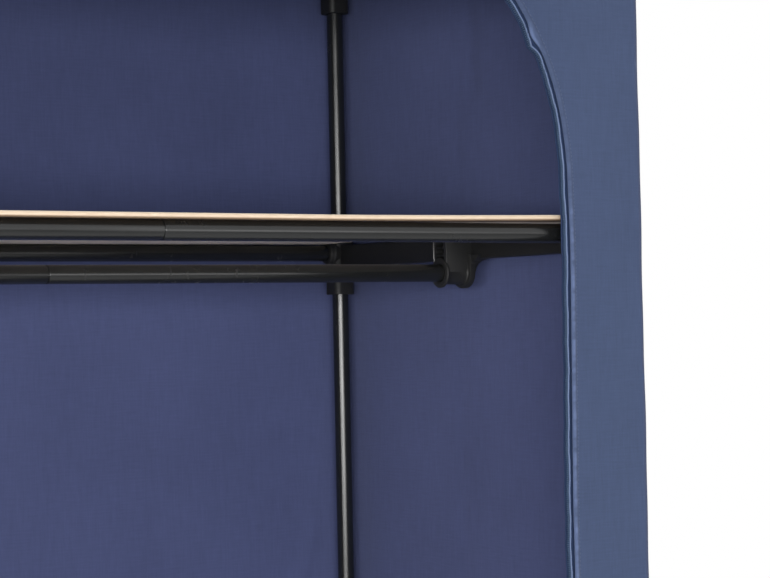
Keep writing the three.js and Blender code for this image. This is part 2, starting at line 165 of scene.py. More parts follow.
floor_reach = 9
floor_corners = [(x * floor_reach, y * floor_reach, 0) for x, y in ((-1, -1), (1, -1), (1, 1), (-1, 1))]
floor_mesh = bpy.data.meshes.new("floor")
floor_mesh.from_pydata(floor_corners, [], [(0, 1, 2, 3)])
floor = linked("floor", floor_mesh)
floor_paint, paint, floor_shader = new_finish("floor_paint")
floor_look = {"Base Color": (0.76, 0.76, 0.755, 1), "Roughness": 0.8, "Specular IOR Level": 0.2}
set_inputs(paint, floor_shader, floor_look)
from_middle = add_node(paint, "VectorMath", {0: object_place(paint)}, operation="LENGTH").outputs["Value"]
camera_ray = add_node(paint, "LightPath").outputs["Is Camera Ray"]
faded = reckon(paint, "MULTIPLY", between(paint, from_middle, 0.75, 3.4), camera_ray)
white_sweep = add_node(paint, "Emission").outputs[0]
sweep = add_node(paint, "MixShader", {"Fac": faded, 1: floor_shader.outputs[0], 2: white_sweep})
set_inputs(paint, paint.nodes["Material Output"], {"Surface": sweep.outputs[0]})
floor_mesh.materials.append(floor_paint)


# Base connectors: one black plastic moulding at each foot, with a round foot, a square leg that the post is
# pushed into from above, and two short collars whose spigots carry the ends of the base rails.

def joined(*parts):
    """Coordinates, spread to one common shape and joined into points."""
    return np.stack(np.broadcast_arrays(*parts), axis=-1)


def box_middle(node):
    """The middle of a CAD node's box."""
    return np.mean(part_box(node), axis=0)


def grid_faces(rows, columns, rows_loop=False, columns_loop=False):
    """The four corners of each cell of a grid of points; a loop joins the last row or column to the first."""
    row = np.arange(rows if rows_loop else rows - 1)
    column = np.arange(columns if columns_loop else columns - 1)
    here, there = np.meshgrid(row, column, indexing="ij")
    below = (here + 1) % rows * columns
    beside = (there + 1) % columns
    here = here * columns
    return joined(here + there, here + beside, below + beside, below + there).reshape(-1, 4)


def finished_piece(name, mesh, finishes, crease, weld=None):
    """An object of a mesh with its faces turned outwards, smooth but for creases sharper than an angle."""
    shape = bmesh.new()
    shape.from_mesh(mesh)
    if weld:
        bmesh.ops.remove_doubles(shape, verts=shape.verts, dist=weld)
    bmesh.ops.recalc_face_normals(shape, faces=shape.faces)
    shape.to_mesh(mesh)
    shape.free()
    mesh.shade_smooth()
    mesh.set_sharp_from_angle(angle=math.radians(crease))
    for finish in finishes:
        mesh.materials.append(finish)
    return linked(name, mesh)


plain_crease = 38


def solid_piece(name, skins, finishes, looped=0, crease=plain_crease):
    """Joins closed skins into one mesh. A skin is points in rows, each row a closed ring, and the rows of the
    first skins, as many as looped says, loop too. A ring that shrinks to a point closes its skin, others get
    one flat end face. With two finishes, the last skin has the second one."""
    points = []
    faces = []
    finish_of_face = []
    first = 0
    for number, rings in enumerate(skins):
        rows, columns = rings.shape[:2]
        cells = (grid_faces(rows, columns, number < looped, True) + first).tolist()
        for row in (0, rows - 1):
            if number >= looped and np.ptp(rings[row], axis=0).max() > 1e-6:
                cells.append([first + row * columns + i for i in range(columns)])
        points.append(rings.reshape(-1, 3))
        faces += cells
        finish_of_face += [len(finishes) - 1 if number == len(skins) - 1 else 0] * len(cells)
        first += rows * columns
    mesh = bpy.data.meshes.new(name)
    mesh.from_pydata(np.concatenate(points).tolist(), [], faces)
    mesh.polygons.foreach_set("material_index", finish_of_face)
    return finished_piece(name, mesh, finishes, crease, weld=2e-6)


def stand_for(piece, node, body="wardrobe"):
    """The piece takes the place of its CAD node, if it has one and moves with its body."""
    if node:
        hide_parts(node)
    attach(piece, body)


def standing_piece(node, part, slot, skins, finishes, body="wardrobe", **shape):
    """A solid piece that is named after its CAD node and takes its place."""
    stand_for(solid_piece(f"{node}_{part}", skins, finishes, **shape), node, body)


def rounded_rings(half_across, half_up, radius, arc_points=8):
    """Rings in a plane, one for each size given: four quarter circles about the corners of a rectangle. A
    radius as large as both halves gives a circle."""
    half_across, half_up, radius = np.broadcast_arrays(*map(np.atleast_1d, (half_across, half_up, radius)))
    angle = (np.arange(4)[:, None] * np.pi / 2 + np.linspace(0, np.pi / 2, arc_points)).ravel()
    corner_across = np.repeat([1, -1, -1, 1], arc_points)
    corner_up = np.repeat([1, 1, -1, -1], arc_points)
    across = corner_across * (half_across - radius)[:, None] + radius[:, None] * np.cos(angle)
    up = corner_up * (half_up - radius)[:, None] + radius[:, None] * np.sin(angle)
    return across, up


def sleeve(profile, centre):
    """A skin round an upright axis: profile rows are (half width, corner radius, height), in millimetres, and
    go from the closed end of one bore over the outside to the next closed end."""
    half, radius, height = np.array(profile, dtype=float).T / 1000
    across, up = rounded_rings(half, half, radius)
    return joined(across, up, height[:, None]) + np.asarray(centre)


def turned(profile, axis, centre, direction=1, sides=48):
    """A skin turned on a lathe: profile rows are (radius, distance along the axis), in millimetres, from
    centre in the given direction."""
    radius, along = np.array(profile, dtype=float).T / 1000
    angle = np.arange(sides) * 2 * np.pi / sides
    rings = np.zeros((len(radius), sides, 3))
    rings[..., axis] = direction * along[:, None]
    rings[..., (axis + 1) % 3] = radius[:, None] * np.cos(angle)
    rings[..., (axis + 2) % 3] = radius[:, None] * np.sin(angle)
    return rings + np.asarray(centre)


def shader_group(name, inputs, outputs):
    """An empty shader group with the kind of each named input and output; returns it, its incoming sockets
    and its output node."""
    group = bpy.data.node_groups.new(name, "ShaderNodeTree")
    for way, sockets in (("INPUT", inputs), ("OUTPUT", outputs)):
        for label, kind in sockets.items():
            group.interface.new_socket(name=label, in_out=way, socket_type="NodeSocket" + kind)
    return group, group.nodes.new("NodeGroupInput").outputs, group.nodes.new("NodeGroupOutput")


def mottle(tree, place, scale, detail=2.0, stretch=(1, 1, 1)):
    """Soft noise round 0.5, drawn out along the directions in which stretch is small."""
    drawn = add_node(tree, "Mapping", {"Vector": place, "Scale": stretch}).outputs[0]
    return add_node(tree, "TexNoise", {"Vector": drawn, "Scale": scale, "Detail": detail}).outputs[0]


def mixed(tree, amount, first, second):
    """A colour between two others, each a socket or an amount of red, green and blue."""
    first, second = ((*end, 1) if isinstance(end, tuple) else end for end in (first, second))
    return add_node(tree, "Mix", {0: amount, 6: first, 7: second}, data_type="RGBA").outputs[2]


def add_relief(tree, shader, height, strength, depth):
    """Turns a height into fine relief of a shader."""
    bump = add_node(tree, "Bump", {"Height": height, "Strength": strength, "Distance": depth})
    set_inputs(tree, shader, {"Normal": bump.outputs[0]})


grain_group, grain_in, grain_out = shader_group(
    "surface_grain",
    {"Place": "Vector", "Fineness": "Float"},
    {"Height": "Float", "Unevenness": "Float", "Rubbed": "Float"},
)
place = grain_in["Place"]
fine = add_node(grain_group, "TexNoise", {"Vector": place, "Scale": grain_in["Fineness"], "Detail": 3})
scratched = between(grain_group, mottle(grain_group, place, 260.0, 4.0, (1, 1, 0.25)), 0.60, 0.72)
patchy = between(grain_group, mottle(grain_group, place, 9.0, 1.0), 0.5, 0.7)
set_inputs(grain_group, grain_out, {
    "Height": fine.outputs[0],
    "Unevenness": mottle(grain_group, place, 22.0, 3.0),
    "Rubbed": reckon(grain_group, "MULTIPLY", scratched, patchy),
})


def hard_finish(name, colour, rubbed_colour, roughness, fineness, depth, gloss=0.5):
    """A painted or moulded finish: fine grain in the relief, uneven gloss and a few rubbed places."""
    finish, tree, shader = new_finish(name)
    grain = {"Place": object_place(tree), "Fineness": fineness}
    grain = add_node(tree, "Group", grain, node_tree=grain_group).outputs
    worn = reckon(tree, "MULTIPLY", grain["Rubbed"], 0.5)
    uneven = reckon(tree, "MULTIPLY_ADD", grain["Unevenness"], 0.12, roughness - 0.06)
    set_inputs(tree, shader, {
        "Base Color": mixed(tree, worn, colour, rubbed_colour),
        "Roughness": reckon(tree, "MULTIPLY_ADD", worn, 0.2, uneven),
        "Specular IOR Level": gloss,
    })
    add_relief(tree, shader, grain["Height"], 0.5, depth)
    return finish


plastic_black = (0.0135, 0.0136, 0.0138)
moulding = hard_finish("moulded_black_plastic", plastic_black, (0.03,) * 3, 0.50, 1900.0, 0.00008, 0.32)
# The rounded lip's finish is a lighter, glossier black: its lighter colour is a painted highlight along the
# edge.
lip_highlight_black = (0.030, 0.030, 0.031)
lip_highlight_finish = hard_finish("rounded_plastic_edge", lip_highlight_black, (0.05,) * 3, 0.28, 1900.0, 0.00003, 0.9)

bore = 8.3
corner_names = ("front_left", "front_right", "rear_left", "rear_right")
both_sides = (("left", -1), ("right", 1))


def collar(axis, centre, direction):
    """A short round collar with a small fillet at the leg and a rounded rim, and the spigot that enters the
    rail, which stops against the rim."""
    profile = [
        (0, 2), (12.6, 2), (12.6, 11.3), (11.7, 11.9), (11.1, 12.9), (11, 14.2),
        (10.7, 15.6), (9.9, 16.4), (8.8, 16.6), (6.7, 16.6), (6.7, 45.6), (6.0, 46.6), (0, 46.6),
    ]
    return turned(profile, axis, centre, direction)


def corner_connector(kind, corner, profile, level):
    """A connector at a corner of the frame: its leg round the post, and a collar for each rail."""
    x, y = box_middle("post_middle_" + corner)[:2]
    centre = (x, y, level)
    across = collar(0, centre, -1 if "right" in corner else 1)
    along = collar(1, centre, -1 if "rear" in corner else 1)
    skins = [sleeve(profile, centre), across, along]
    standing_piece(f"{kind}_connector_{corner}", "moulding", "moulded_plastic", skins, [moulding])


base_level = box_middle("base_rail_front_left")[2]
base_leg = [
    (0, 0, -70), (14.0, 14.0, -70), (14.8, 14.8, -69.6), (15, 15, -68.8), (15, 15, -63.4),
    (14.6, 14.6, -62.4), (13.4, 13.2, -62), (12.2, 8.5, -61.8), (11.6, 6.4, -61), (11.5, 6, -60),
    (11.5, 6, 39.4), (11.3, 5.8, 40.5), (10.6, 5.4, 41), (8.9, 8.9, 41), (bore, bore, 40.4),
    (bore, bore, 2), (0, 0, 2),
]
for corner in corner_names:
    corner_connector("base", corner, base_leg, base_level)


# Posts: 16 mm steel tube with a 1 mm wall and glossy black paint, each in three lengths. A plain moulded
# coupler joins the two lower lengths, and the shelf bracket the two upper ones.

tube_black = (0.0090, 0.0096, 0.0098)
tube_paint = hard_finish("gloss_black_paint", tube_black, (0.022,) * 3, 0.25, 700.0, 0.00002, 0.55)


def drawn_tube(node, swage=0.0):
    """A tube along its CAD node: the outer wall, a rounded rim, the inner wall and back, as one looped skin.
    A swage is the length of the narrowed end that enters the next tube, in millimetres."""
    low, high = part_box(node)
    axis = int(np.argmax(np.subtract(high, low)))
    centre = box_middle(node)
    centre[axis] = low[axis]
    end = (high[axis] - low[axis]) * 1000 - swage
    profile = [(7, 0.3), (7.2, 0), (7.7, 0), (8, 0.35)]
    if swage:
        tip = end + swage
        profile += [(8, end - 0.9), (7.6, end - 0.2), (6.7, end), (6.7, tip - 0.4), (6.4, tip)]
        profile += [(5.7, tip), (5.7, end - 0.5), (7, end - 2)]
    else:
        profile += [(8, end - 0.35), (7.7, end), (7.2, end), (7, end - 0.3)]
    standing_piece(node, "tube", "painted_tube", [turned(profile, axis, centre)], [tube_paint], looped=1)


coupler = [
    (0, 0, -2), (bore, bore, -2), (bore, bore, -35.4), (8.9, 8.9, -36), (9.9, 9.9, -36), (10.5, 10.5, -35.2),
    (10.5, 10.5, -1.6), (10.9, 10.9, -1.2), (10.9, 10.9, 1.2), (10.5, 10.5, 1.6),
    (10.5, 10.5, 35.2), (9.9, 9.9, 36), (8.9, 8.9, 36), (bore, bore, 35.4), (bore, bore, 2), (0, 0, 2),
]
for corner in corner_names:
    for length in ("lower", "middle", "upper"):
        drawn_tube(f"post_{length}_{corner}")
    node = "post_coupler_" + corner
    standing_piece(node, "moulding", "moulded_plastic", [sleeve(coupler, box_middle(node))], [moulding])


# Base rails, side tubes and base board: the rails are in two halves whose narrowed ends enter each other in
# the middle, and the board lies loose on them. It is pale pressed fibreboard with a thin smooth face.

def rail(name):
    """A rail in two halves: the narrowed end of the left one enters the right one."""
    drawn_tube(name + "_left", swage=30.0)
    drawn_tube(name + "_right")


rail("base_rail_front")
rail("base_rail_rear")
for side, sign in both_sides:
    drawn_tube("base_side_tube_" + side)

board_finish, tree, board_shader = new_finish("pale_fibreboard")
place = object_place(tree)
normal = add_node(tree, "NewGeometry").outputs["Normal"]
facing = add_node(tree, "SeparateXYZ", {0: normal}).outputs["Z"]
from_front = add_node(tree, "SeparateXYZ", {0: place}).outputs["Y"]
fibres = mottle(tree, place, 900.0, 4.0, (0.12, 0.5, 1))
cloudy = mottle(tree, place, 7.0, 3.0)
edge_colour = mixed(tree, fibres, (0.60, 0.44, 0.30), (0.84, 0.69, 0.53))
# Painted shade: the downward-turned rounding of the board's edge is painted dark brown, as if it lay in
# shade.
edge_colour = mixed(tree, between(tree, facing, -0.05, -0.6), edge_colour, (0.24, 0.16, 0.10))
face_colour = mixed(tree, cloudy, (0.80, 0.66, 0.50), (0.90, 0.77, 0.62))
under_colour = mixed(tree, cloudy, (0.70, 0.60, 0.49), (0.82, 0.72, 0.60))
# Painted shade: the underside's strip along the front, over the front rail, is painted dark brown where shade
# falls between board and rail.
rail_shade_strip = between(tree, from_front, -0.158, -0.168)
under_colour = mixed(tree, rail_shade_strip, under_colour, (0.20, 0.135, 0.085))
board_colour = mixed(tree, between(tree, facing, 0.3, 0.8), edge_colour, face_colour)
board_colour = mixed(tree, between(tree, facing, -0.8, -0.98), board_colour, under_colour)
set_inputs(tree, board_shader, {"Base Color": board_colour, "Roughness": 0.62})
add_relief(tree, board_shader, fibres, 0.4, 0.0002)


def board(node, curl):
    """A thin board: a rounded rectangle carried along x. curl gives how far the board lifts at each station,
    from its place across (0 to 1) and along (-1 to 1)."""
    low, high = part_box(node)
    half = np.subtract(high, low) / 2
    inset = 0.0015
    along = np.concatenate([[-half[0]], np.linspace(-half[0] + inset, half[0] - inset, 81), [half[0]]])
    shrink = np.zeros(len(along))
    shrink[[0, -1]] = inset
    across, up = rounded_rings(half[1] - shrink, half[2] - shrink, inset + 0.0002, 5)
    front = np.clip(0.5 - across / (2 * half[1]), 0, 1)
    rings = joined(along[:, None], across, up + curl(front, along[:, None] / half[0]))
    standing_piece(node, "sheet", "board", [rings + box_middle(node)], [board_finish])


board("base_board", lambda front, along: 0.0004 * np.cos(along * 3) * front)


# Shelf brackets: one black moulding from the front post to the rear post at each side. It has a sleeve with a
# stop for each post, a collar and spigot for each shelf rail, a flat beam, and a ribbed cup for the rod.

rail_level = box_middle("shelf_rail_front_left")[2]
rod_y, rod_level = box_middle("hanging_rod_left")[1:]

bracket_sleeve = [
    (0, 0, -2), (bore, bore, -2), (bore, bore, -40.5), (8.8, 8.8, -41), (10.9, 5.6, -41), (11.35, 5.9, -40.8),
    (11.5, 6, -40.3), (11.5, 6, 35.3), (11.3, 5.9, 35.8), (10.8, 5.6, 36), (8.8, 8.8, 36), (bore, bore, 35.5),
    (bore, bore, 2), (0, 0, 2),
]
cup_profile = [
    (0, 9), (bore, 9), (bore, 35.0), (8.7, 35.6), (9.4, 35.8), (12.4, 35.8), (13.2, 35.5), (13.6, 34.9),
    (13.7, 34.3), (13.6, 33.7), (13.1, 33.1), (12.1, 32.7), (11.3, 32.3), (10.7, 31.6), (10.4, 30.5),
    (10.4, 12.6), (10.8, 11.5), (11.6, 10.8), (11.6, 5), (0, 5),
]
web_profile = [(2, 10.4, 15.4, 1.3), (33.9, 10.4, 15.4, 1.3), (34.6, 9.9, 14.9, 1.0)]
web_drop = 0.0114
pocket_profile = [(18, 5.8, 2.7, 2.7), (33.9, 6.2, 2.9, 2.9), (36, 6.8, 3.3, 3.3)]
pocket_drops = (0.0003, 0.0073, 0.0143)
beam_half = 0.006
beam_top = 0.0077
beam_bottom = -0.0143


def beam(side_x, front_end, rear_end):
    """The beam: a rounded upright rectangle carried from the front post to the rear post."""
    stations = np.linspace(front_end, rear_end, 40)
    across, up = rounded_rings(np.full(len(stations), beam_half), (beam_top - beam_bottom) / 2, 0.0013, 5)
    return joined(side_x + across, stations[:, None], rail_level + up + (beam_top + beam_bottom) / 2)


def inner_rib(side_x, direction):
    """The cup's inner rib: a plate with straight sides and a round lower end, rounded at its edges."""
    turn = np.linspace(0, np.pi, 25)
    half = np.array([13.4, 14.0, 14.2, 14.2, 14.0, 13.4])[:, None] / 1000
    reach = np.array([11.0, 10.8, 10.2, 5.6, 5.0, 4.8])[:, None] / 1000
    top = 0.0170
    around = np.concatenate([half * np.cos(turn), -half, half], axis=1)
    down = np.concatenate([-half * np.sin(turn), np.full((len(half), 2), top)], axis=1)
    return joined(side_x + direction * reach, rod_y + around, rod_level + down)


def gusset(side_x, direction):
    """A gusset behind the inner rib that widens upwards into the underside of the beam."""
    level = np.array([-12.5, -6, 0, 5, 8, 10.5, 12.2, 16.0])[:, None] / 1000
    outer = np.array([5.5, 4.5, 3.5, 2.0, 0.5, -2.0, -5.0, -5.8]) / 1000
    half_deep = np.array([7.0, 12.0, 13.0, 13.2, 14.2, 16.0, 22.0, 26.0]) / 1000
    inner = 0.010
    across, deep = rounded_rings((inner - outer) / 2, half_deep, 0.0012, 5)
    middle = (inner + outer)[:, None] / 2
    return joined(side_x + direction * (middle + across), rod_y + deep, rod_level + level)


def block(profile, direction, centre):
    """A rounded block carried along x: profile rows are (distance, half width, half height, corner radius),
    in millimetres."""
    along, half_across, half_up, radius = np.array(profile, dtype=float).T / 1000
    across, up = rounded_rings(half_across, half_up, radius)
    return joined(direction * along[:, None], across, up) + np.asarray(centre)


def cord_skin(path, radius, sides=10, loop=False):
    """A round bead carried along a path: rings square to the path, turned as little as may be."""
    ahead = np.roll(path, -1, axis=0) - np.roll(path, 1, axis=0) if loop else np.gradient(path, axis=0)
    ahead = unit(ahead)
    guide = np.where(np.abs(ahead[:, 2:3]) > 0.9, [[0.0, 1.0, 0.0]], [[0.0, 0.0, 1.0]])
    first = unit(np.cross(ahead, guide))
    second = np.cross(ahead, first)
    angle = np.arange(sides) * 2 * np.pi / sides
    thick = np.broadcast_to(radius, len(path))[:, None, None]
    offset = np.cos(angle)[:, None] * first[:, None] + np.sin(angle)[:, None] * second[:, None]
    return path[:, None] + thick * offset


def carved(piece, cutter):
    """Cuts one closed piece out of another and throws the cutter away."""
    cut = piece.modifiers.new("cut", "BOOLEAN")
    cut.object = cutter
    cut.solver = "EXACT"
    result = bpy.data.meshes.new_from_object(piece.evaluated_get(bpy.context.evaluated_depsgraph_get()))
    piece.modifiers.clear()
    piece.data = result
    bpy.data.objects.remove(cutter)
    result.set_sharp_from_angle(angle=math.radians(plain_crease))


for side, sign in both_sides:
    node = "shelf_bracket_" + side
    post_x, post_front = box_middle("post_middle_front_" + side)[:2]
    post_rear = box_middle("post_middle_rear_" + side)[1]
    web = block(web_profile, -sign, (post_x, rod_y, rail_level - web_drop))
    body = solid_piece(node + "_web", [web], [moulding])
    pockets = [block(pocket_profile, -sign, (post_x, rod_y, rail_level - drop)) for drop in pocket_drops]
    carved(body, solid_piece(node + "_pockets", pockets, [moulding]))
    stand_for(body, node)
    skins = [
        turned(cup_profile, 0, (post_x, rod_y, rod_level), -sign), beam(post_x, post_front, post_rear),
        inner_rib(post_x, -sign), gusset(post_x, -sign),
    ]
    for y in (post_front, post_rear):
        skins.append(sleeve(bracket_sleeve, (post_x, y, rail_level)))
        skins.append(collar(0, (post_x, y, rail_level), -sign))
    # A thin rounded lip up the end of the web, in the lip finish whose lighter black is a painted highlight.
    lip_level = np.linspace(rod_level + 0.0105, rail_level + 0.003, 9)
    lip_radius = 0.0009 * np.sin(np.linspace(0.5, 2.64, len(lip_level))) ** 0.4
    skins.append(cord_skin(joined(post_x - sign * 0.0345, rod_y + 0.0093, lip_level), lip_radius))
    standing_piece(node, "sockets", "moulded_plastic", skins, [moulding, lip_highlight_finish])


# Shelf rails, hanging rod and shelf board: the rails are pushed over the brackets' spigots, the rod's ends
# lie in their cups, and the board lies loose on the rails, a little lifted where its ends have curled up.

rail("shelf_rail_front")
rail("shelf_rail_rear")
rail("hanging_rod")


def end_curl(front, along):
    """The lift of the shelf board: none in the middle, most at the front corners."""
    return 0.0042 * np.clip(np.abs(along) - 0.35, 0, None) ** 1.5 * (0.3 + 0.9 * front)


board("shelf_board", end_curl)


# Top connectors, rails and side tubes: the connectors are capped mouldings pushed down over the posts, with
# collars for the rails and side tubes that carry the roof.

top_level = box_middle("top_rail_front_left")[2]
top_cap = [
    (0, 0, -2), (bore, bore, -2), (bore, bore, -43.4), (8.9, 8.9, -44), (9.6, 5.0, -44), (10.7, 5.5, -43.8),
    (11.3, 5.8, -43.2), (11.5, 6, -42), (11.5, 6, 12.2), (11.2, 5.9, 13.5), (10.2, 5.4, 14.3), (9, 4.8, 14.5),
    (0, 0, 14.5),
]
for corner in corner_names:
    corner_connector("top", corner, top_cap, top_level)
rail("top_rail_front")
rail("top_rail_rear")
for side, sign in both_sides:
    drawn_tube("top_side_tube_" + side)


# Cover, back and sides: non-woven navy cloth cut to panels and sewn inside out along bound seams, then pulled
# over the frame. Its inner face is plainer, and painted lighter and more violet than the outer face: painted
# light that makes up for the dimmer light inside. The folds are long and soft, livelier low down.

weave_group, weave_in, weave_out = shader_group(
    "cloth_weave",
    {"Place": "Vector", "Shade": "Color", "Pitch": "Float"},
    {"Color": "Color", "Height": "Float"},
)
tree = weave_group
place = weave_in["Place"]
upright_threads = mottle(tree, place, 1.0, 2.0, (620, 45, 1))
level_threads = mottle(tree, place, 1.0, 2.0, (45, 620, 1))
slubs = mottle(tree, place, 1.0, 3.0, (170, 26, 1))
clouds = mottle(tree, place, 5.5, 2.0)
parts = add_node(tree, "SeparateXYZ", {0: place}).outputs
turns = reckon(tree, "DIVIDE", 2 * math.pi, weave_in["Pitch"])
waves = [reckon(tree, "SINE", reckon(tree, "MULTIPLY", parts[way], turns)) for way in "XY"]
threads = reckon(tree, "ADD", upright_threads, level_threads)
strength = reckon(tree, "MULTIPLY_ADD", threads, 0.20, 0.64)
strength = reckon(tree, "MULTIPLY_ADD", slubs, 0.16, strength)
strength = reckon(tree, "MULTIPLY_ADD", clouds, 0.30, reckon(tree, "SUBTRACT", strength, 0.15))
lit = add_node(tree, "VectorMath", {0: weave_in["Shade"], "Scale": strength}, operation="SCALE")
height = reckon(tree, "MULTIPLY_ADD", reckon(tree, "MULTIPLY", *waves), 0.22, threads)
set_inputs(tree, weave_out, {"Color": lit.outputs[0], "Height": height})

stitch_group, stitch_in, stitch_out = shader_group(
    "stitch_rows", {"Seam": "Vector", "From Edge": "Float"}, {"Thread": "Float", "Pull": "Float"}
)
tree = stitch_group
parts = add_node(tree, "SeparateXYZ", {0: stitch_in["Seam"]}).outputs
off_row = reckon(tree, "ABSOLUTE", reckon(tree, "SUBTRACT", parts["X"], stitch_in["From Edge"]))
dash = reckon(tree, "SINE", reckon(tree, "MULTIPLY", parts["Y"], 2 * math.pi / 0.0032))
thread = reckon(tree, "MULTIPLY", between(tree, off_row, 0.0005, 0.0002), between(tree, dash, -0.5, 0.0))
set_inputs(tree, stitch_out, {"Thread": thread, "Pull": between(tree, off_row, 0.0016, 0.0)})


def cloth_finish(name, shade, thread_shade, stitched_at, sheen=0.08, pitch=0.0016, relief=0.00022):
    """Sewn cloth: its weave from the panel's own map, a row of stitches at a distance from the sewn edge, and
    paler cloth where a highlight is painted in."""
    finish, tree, shader = new_finish(name)
    cloth_map, seam_map = (add_node(tree, "UVMap", uv_map=label).outputs[0] for label in ("cloth", "seam"))
    painted_highlight = add_node(tree, "Attribute", attribute_name="painted_highlight").outputs["Fac"]
    weave = {"Place": cloth_map, "Shade": (*shade, 1), "Pitch": pitch}
    weave = add_node(tree, "Group", weave, node_tree=weave_group).outputs
    stitches = {"Seam": seam_map, "From Edge": stitched_at}
    stitches = add_node(tree, "Group", stitches, node_tree=stitch_group).outputs
    # Painted highlight: the cloth is mixed towards a paler shade where the point attribute asks for it.
    highlight_shade = tuple(min(1.0, 0.02 + 1.75 * c) for c in shade)
    cloth = mixed(tree, painted_highlight, weave["Color"], highlight_shade)
    set_inputs(tree, shader, {
        "Base Color": mixed(tree, reckon(tree, "MULTIPLY", stitches["Thread"], 0.45), cloth, thread_shade),
        "Roughness": 0.93,
        "Specular IOR Level": 0.25,
        "Sheen Weight": sheen,
        "Sheen Roughness": 0.5,
    })
    height = reckon(tree, "MULTIPLY_ADD", stitches["Pull"], -1.6, weave["Height"])
    add_relief(tree, shader, reckon(tree, "MULTIPLY_ADD", stitches["Thread"], 1.4, height), 0.6, relief)
    return finish


# Painted light: the inner face gets a lighter, more violet shade than the outer face of the same cloth, to
# make up for the dimmer light inside the cover.
outer_cloth = cloth_finish("cover_outside", (0.0525, 0.0755, 0.1490), (0.11, 0.14, 0.23), 0.006)
inner_cloth = cloth_finish("cover_inside", (0.0715, 0.0870, 0.1965), (0.06, 0.075, 0.15), 0.006)
cover_faces = (outer_cloth, inner_cloth)


def cloth_piece(name, face, outward, place, seam, painted_highlight=0.0, finishes=cover_faces, thickness=0.001):
    """A sheet on a grid: the middle surface moved half its thickness to each side along its own normal, with
    a rim all round. place is its flat map, seam the distance to the sewn edge and the way along it, and the
    painted highlight how much paler the cloth is painted where it stands in for light."""
    rows, columns = face.shape[:2]
    normal = unit(np.cross(np.gradient(face, axis=0), np.gradient(face, axis=1)))
    if normal.mean(axis=(0, 1)) @ np.asarray(outward) < 0:
        normal = -normal
    points = [(face + way * normal * thickness / 2).reshape(-1, 3) for way in (1, -1)]
    count = rows * columns
    front = grid_faces(rows, columns)
    index = np.arange(count).reshape(rows, columns)
    edge = np.concatenate([index[0, :-1], index[:-1, -1], index[-1, :0:-1], index[:0:-1, 0]])
    rim = joined(edge, np.roll(edge, -1), np.roll(edge, -1) + count, edge + count)
    faces = np.concatenate([front, front[:, ::-1] + count, rim])
    mesh = bpy.data.meshes.new(name)
    mesh.from_pydata(np.concatenate(points).tolist(), [], faces.tolist())
    inside = np.zeros(len(faces), dtype=np.int32)
    inside[len(front):2 * len(front)] = len(finishes) - 1
    mesh.polygons.foreach_set("material_index", inside)
    corner_point = np.zeros(len(mesh.loops), dtype=np.int32)
    mesh.loops.foreach_get("vertex_index", corner_point)
    for label, values in (("cloth", place), ("seam", seam)):
        flat = np.concatenate([values.reshape(-1, 2)] * 2)
        layer = mesh.uv_layers.new(name=label)
        layer.uv.foreach_set("vector", flat[corner_point].astype(np.float32).ravel())
    # The painted highlight amount at each point, read by the cloth finish.
    rubbed = mesh.attributes.new("painted_highlight", "FLOAT", "POINT")
    painted_highlight = np.broadcast_to(painted_highlight, (rows, columns)).ravel()
    rubbed.data.foreach_set("value", np.concatenate([painted_highlight, painted_highlight]).astype(np.float32))
    return finished_piece(name, mesh, finishes, 60)


def bell(off, breadth):
    """A smooth hump: 1 at 0, and next to nothing beyond twice the breadth."""
    return np.exp(-(off / breadth) ** 2)


def ramp(value, place, width):
    """0 far below a place and 1 far above it, with a smooth step some widths wide; a negative width falls."""
    return 1 / (1 + np.exp(-(value - place) / width))


def hung_relief(across, up, seed, width, height):
    """How far hung cloth stands off its flat plane: long soft folds, near upright, each a low ridge of random
    place and size that fades along its length, and flat at the sewn edges."""
    chance = np.random.default_rng(seed)
    count = int(5 + width * 22)
    middle = chance.uniform(0.02, width - 0.02, count)
    level = chance.uniform(0.1, height - 0.1, count)
    lean = chance.normal(0, 0.16, count)
    breadth = chance.uniform(0.012, 0.055, count)
    reach = chance.uniform(0.10, 0.45, count)
    rise = chance.uniform(-0.0011, 0.0011, count)
    relief = 0.0016 * np.sin(across * 7.1 + seed) * np.sin(up * 3.3 + seed * 0.7)
    for i in range(count):
        off = across - middle[i] - lean[i] * (up - level[i])
        relief += rise[i] * bell(off, breadth[i]) * bell(up - level[i], reach[i])
    edge = np.minimum(np.minimum(across, width - across), np.minimum(up, height - up))
    return relief * (1 - bell(np.clip(edge, 0, None), 0.035))


fold_levels = (0.42, 0.84, 1.27)
fold_stations = (0.225, 0.45, 0.675)


def packing_folds(across, up, places_across, places_up=fold_levels):
    """Sharp low creases left where the cover was folded flat in its packing."""
    relief = 0 * across
    for rise, off_flat, places in ((0.0007, across, places_across), (0.0006, up, places_up)):
        for place in places:
            relief += rise * np.exp(-np.abs(off_flat - place) / 0.006)
    return relief


def long_folds(across, up, folds):
    """Single long soft folds: each from one point to another, with its breadth and how far it stands off."""
    relief = 0 * across
    for from_across, from_up, to_across, to_up, breadth, rise in folds:
        run = np.array([to_across - from_across, to_up - from_up])
        share = ((across - from_across) * run[0] + (up - from_up) * run[1]) / (run @ run)
        share = np.clip(share, 0, 1)
        away = np.hypot(across - from_across - share * run[0], up - from_up - share * run[1])
        relief += rise * bell(away, breadth)
    return relief


def slack_cloth(relief, creases, calm, furthest=0.008):
    """Folds three times as large where the cloth isn't calm, and held between the frame inside and its own
    length."""
    slack = 3.0 - 2.0 * calm
    loose = relief * slack + creases * (0.5 + 0.5 * slack)
    inward = np.where(loose < 0, 1.6, 1)
    return furthest * np.tanh(inward * loose / furthest) / inward


def nearest_edge(across, up, width, height):
    """Distance to the nearest sewn edge of a panel, and the way along that edge."""
    beside = np.minimum(across, width - across)
    above = np.minimum(up, height - up)
    return joined(np.minimum(beside, above), np.where(beside < above, up, across))


hem_height = 0.020
hem_layer = 0.0006


def hem_step(up):
    """A turned-up hem stands out by the thickness of one more layer."""
    return hem_layer * ramp(up, hem_height, -0.0006)


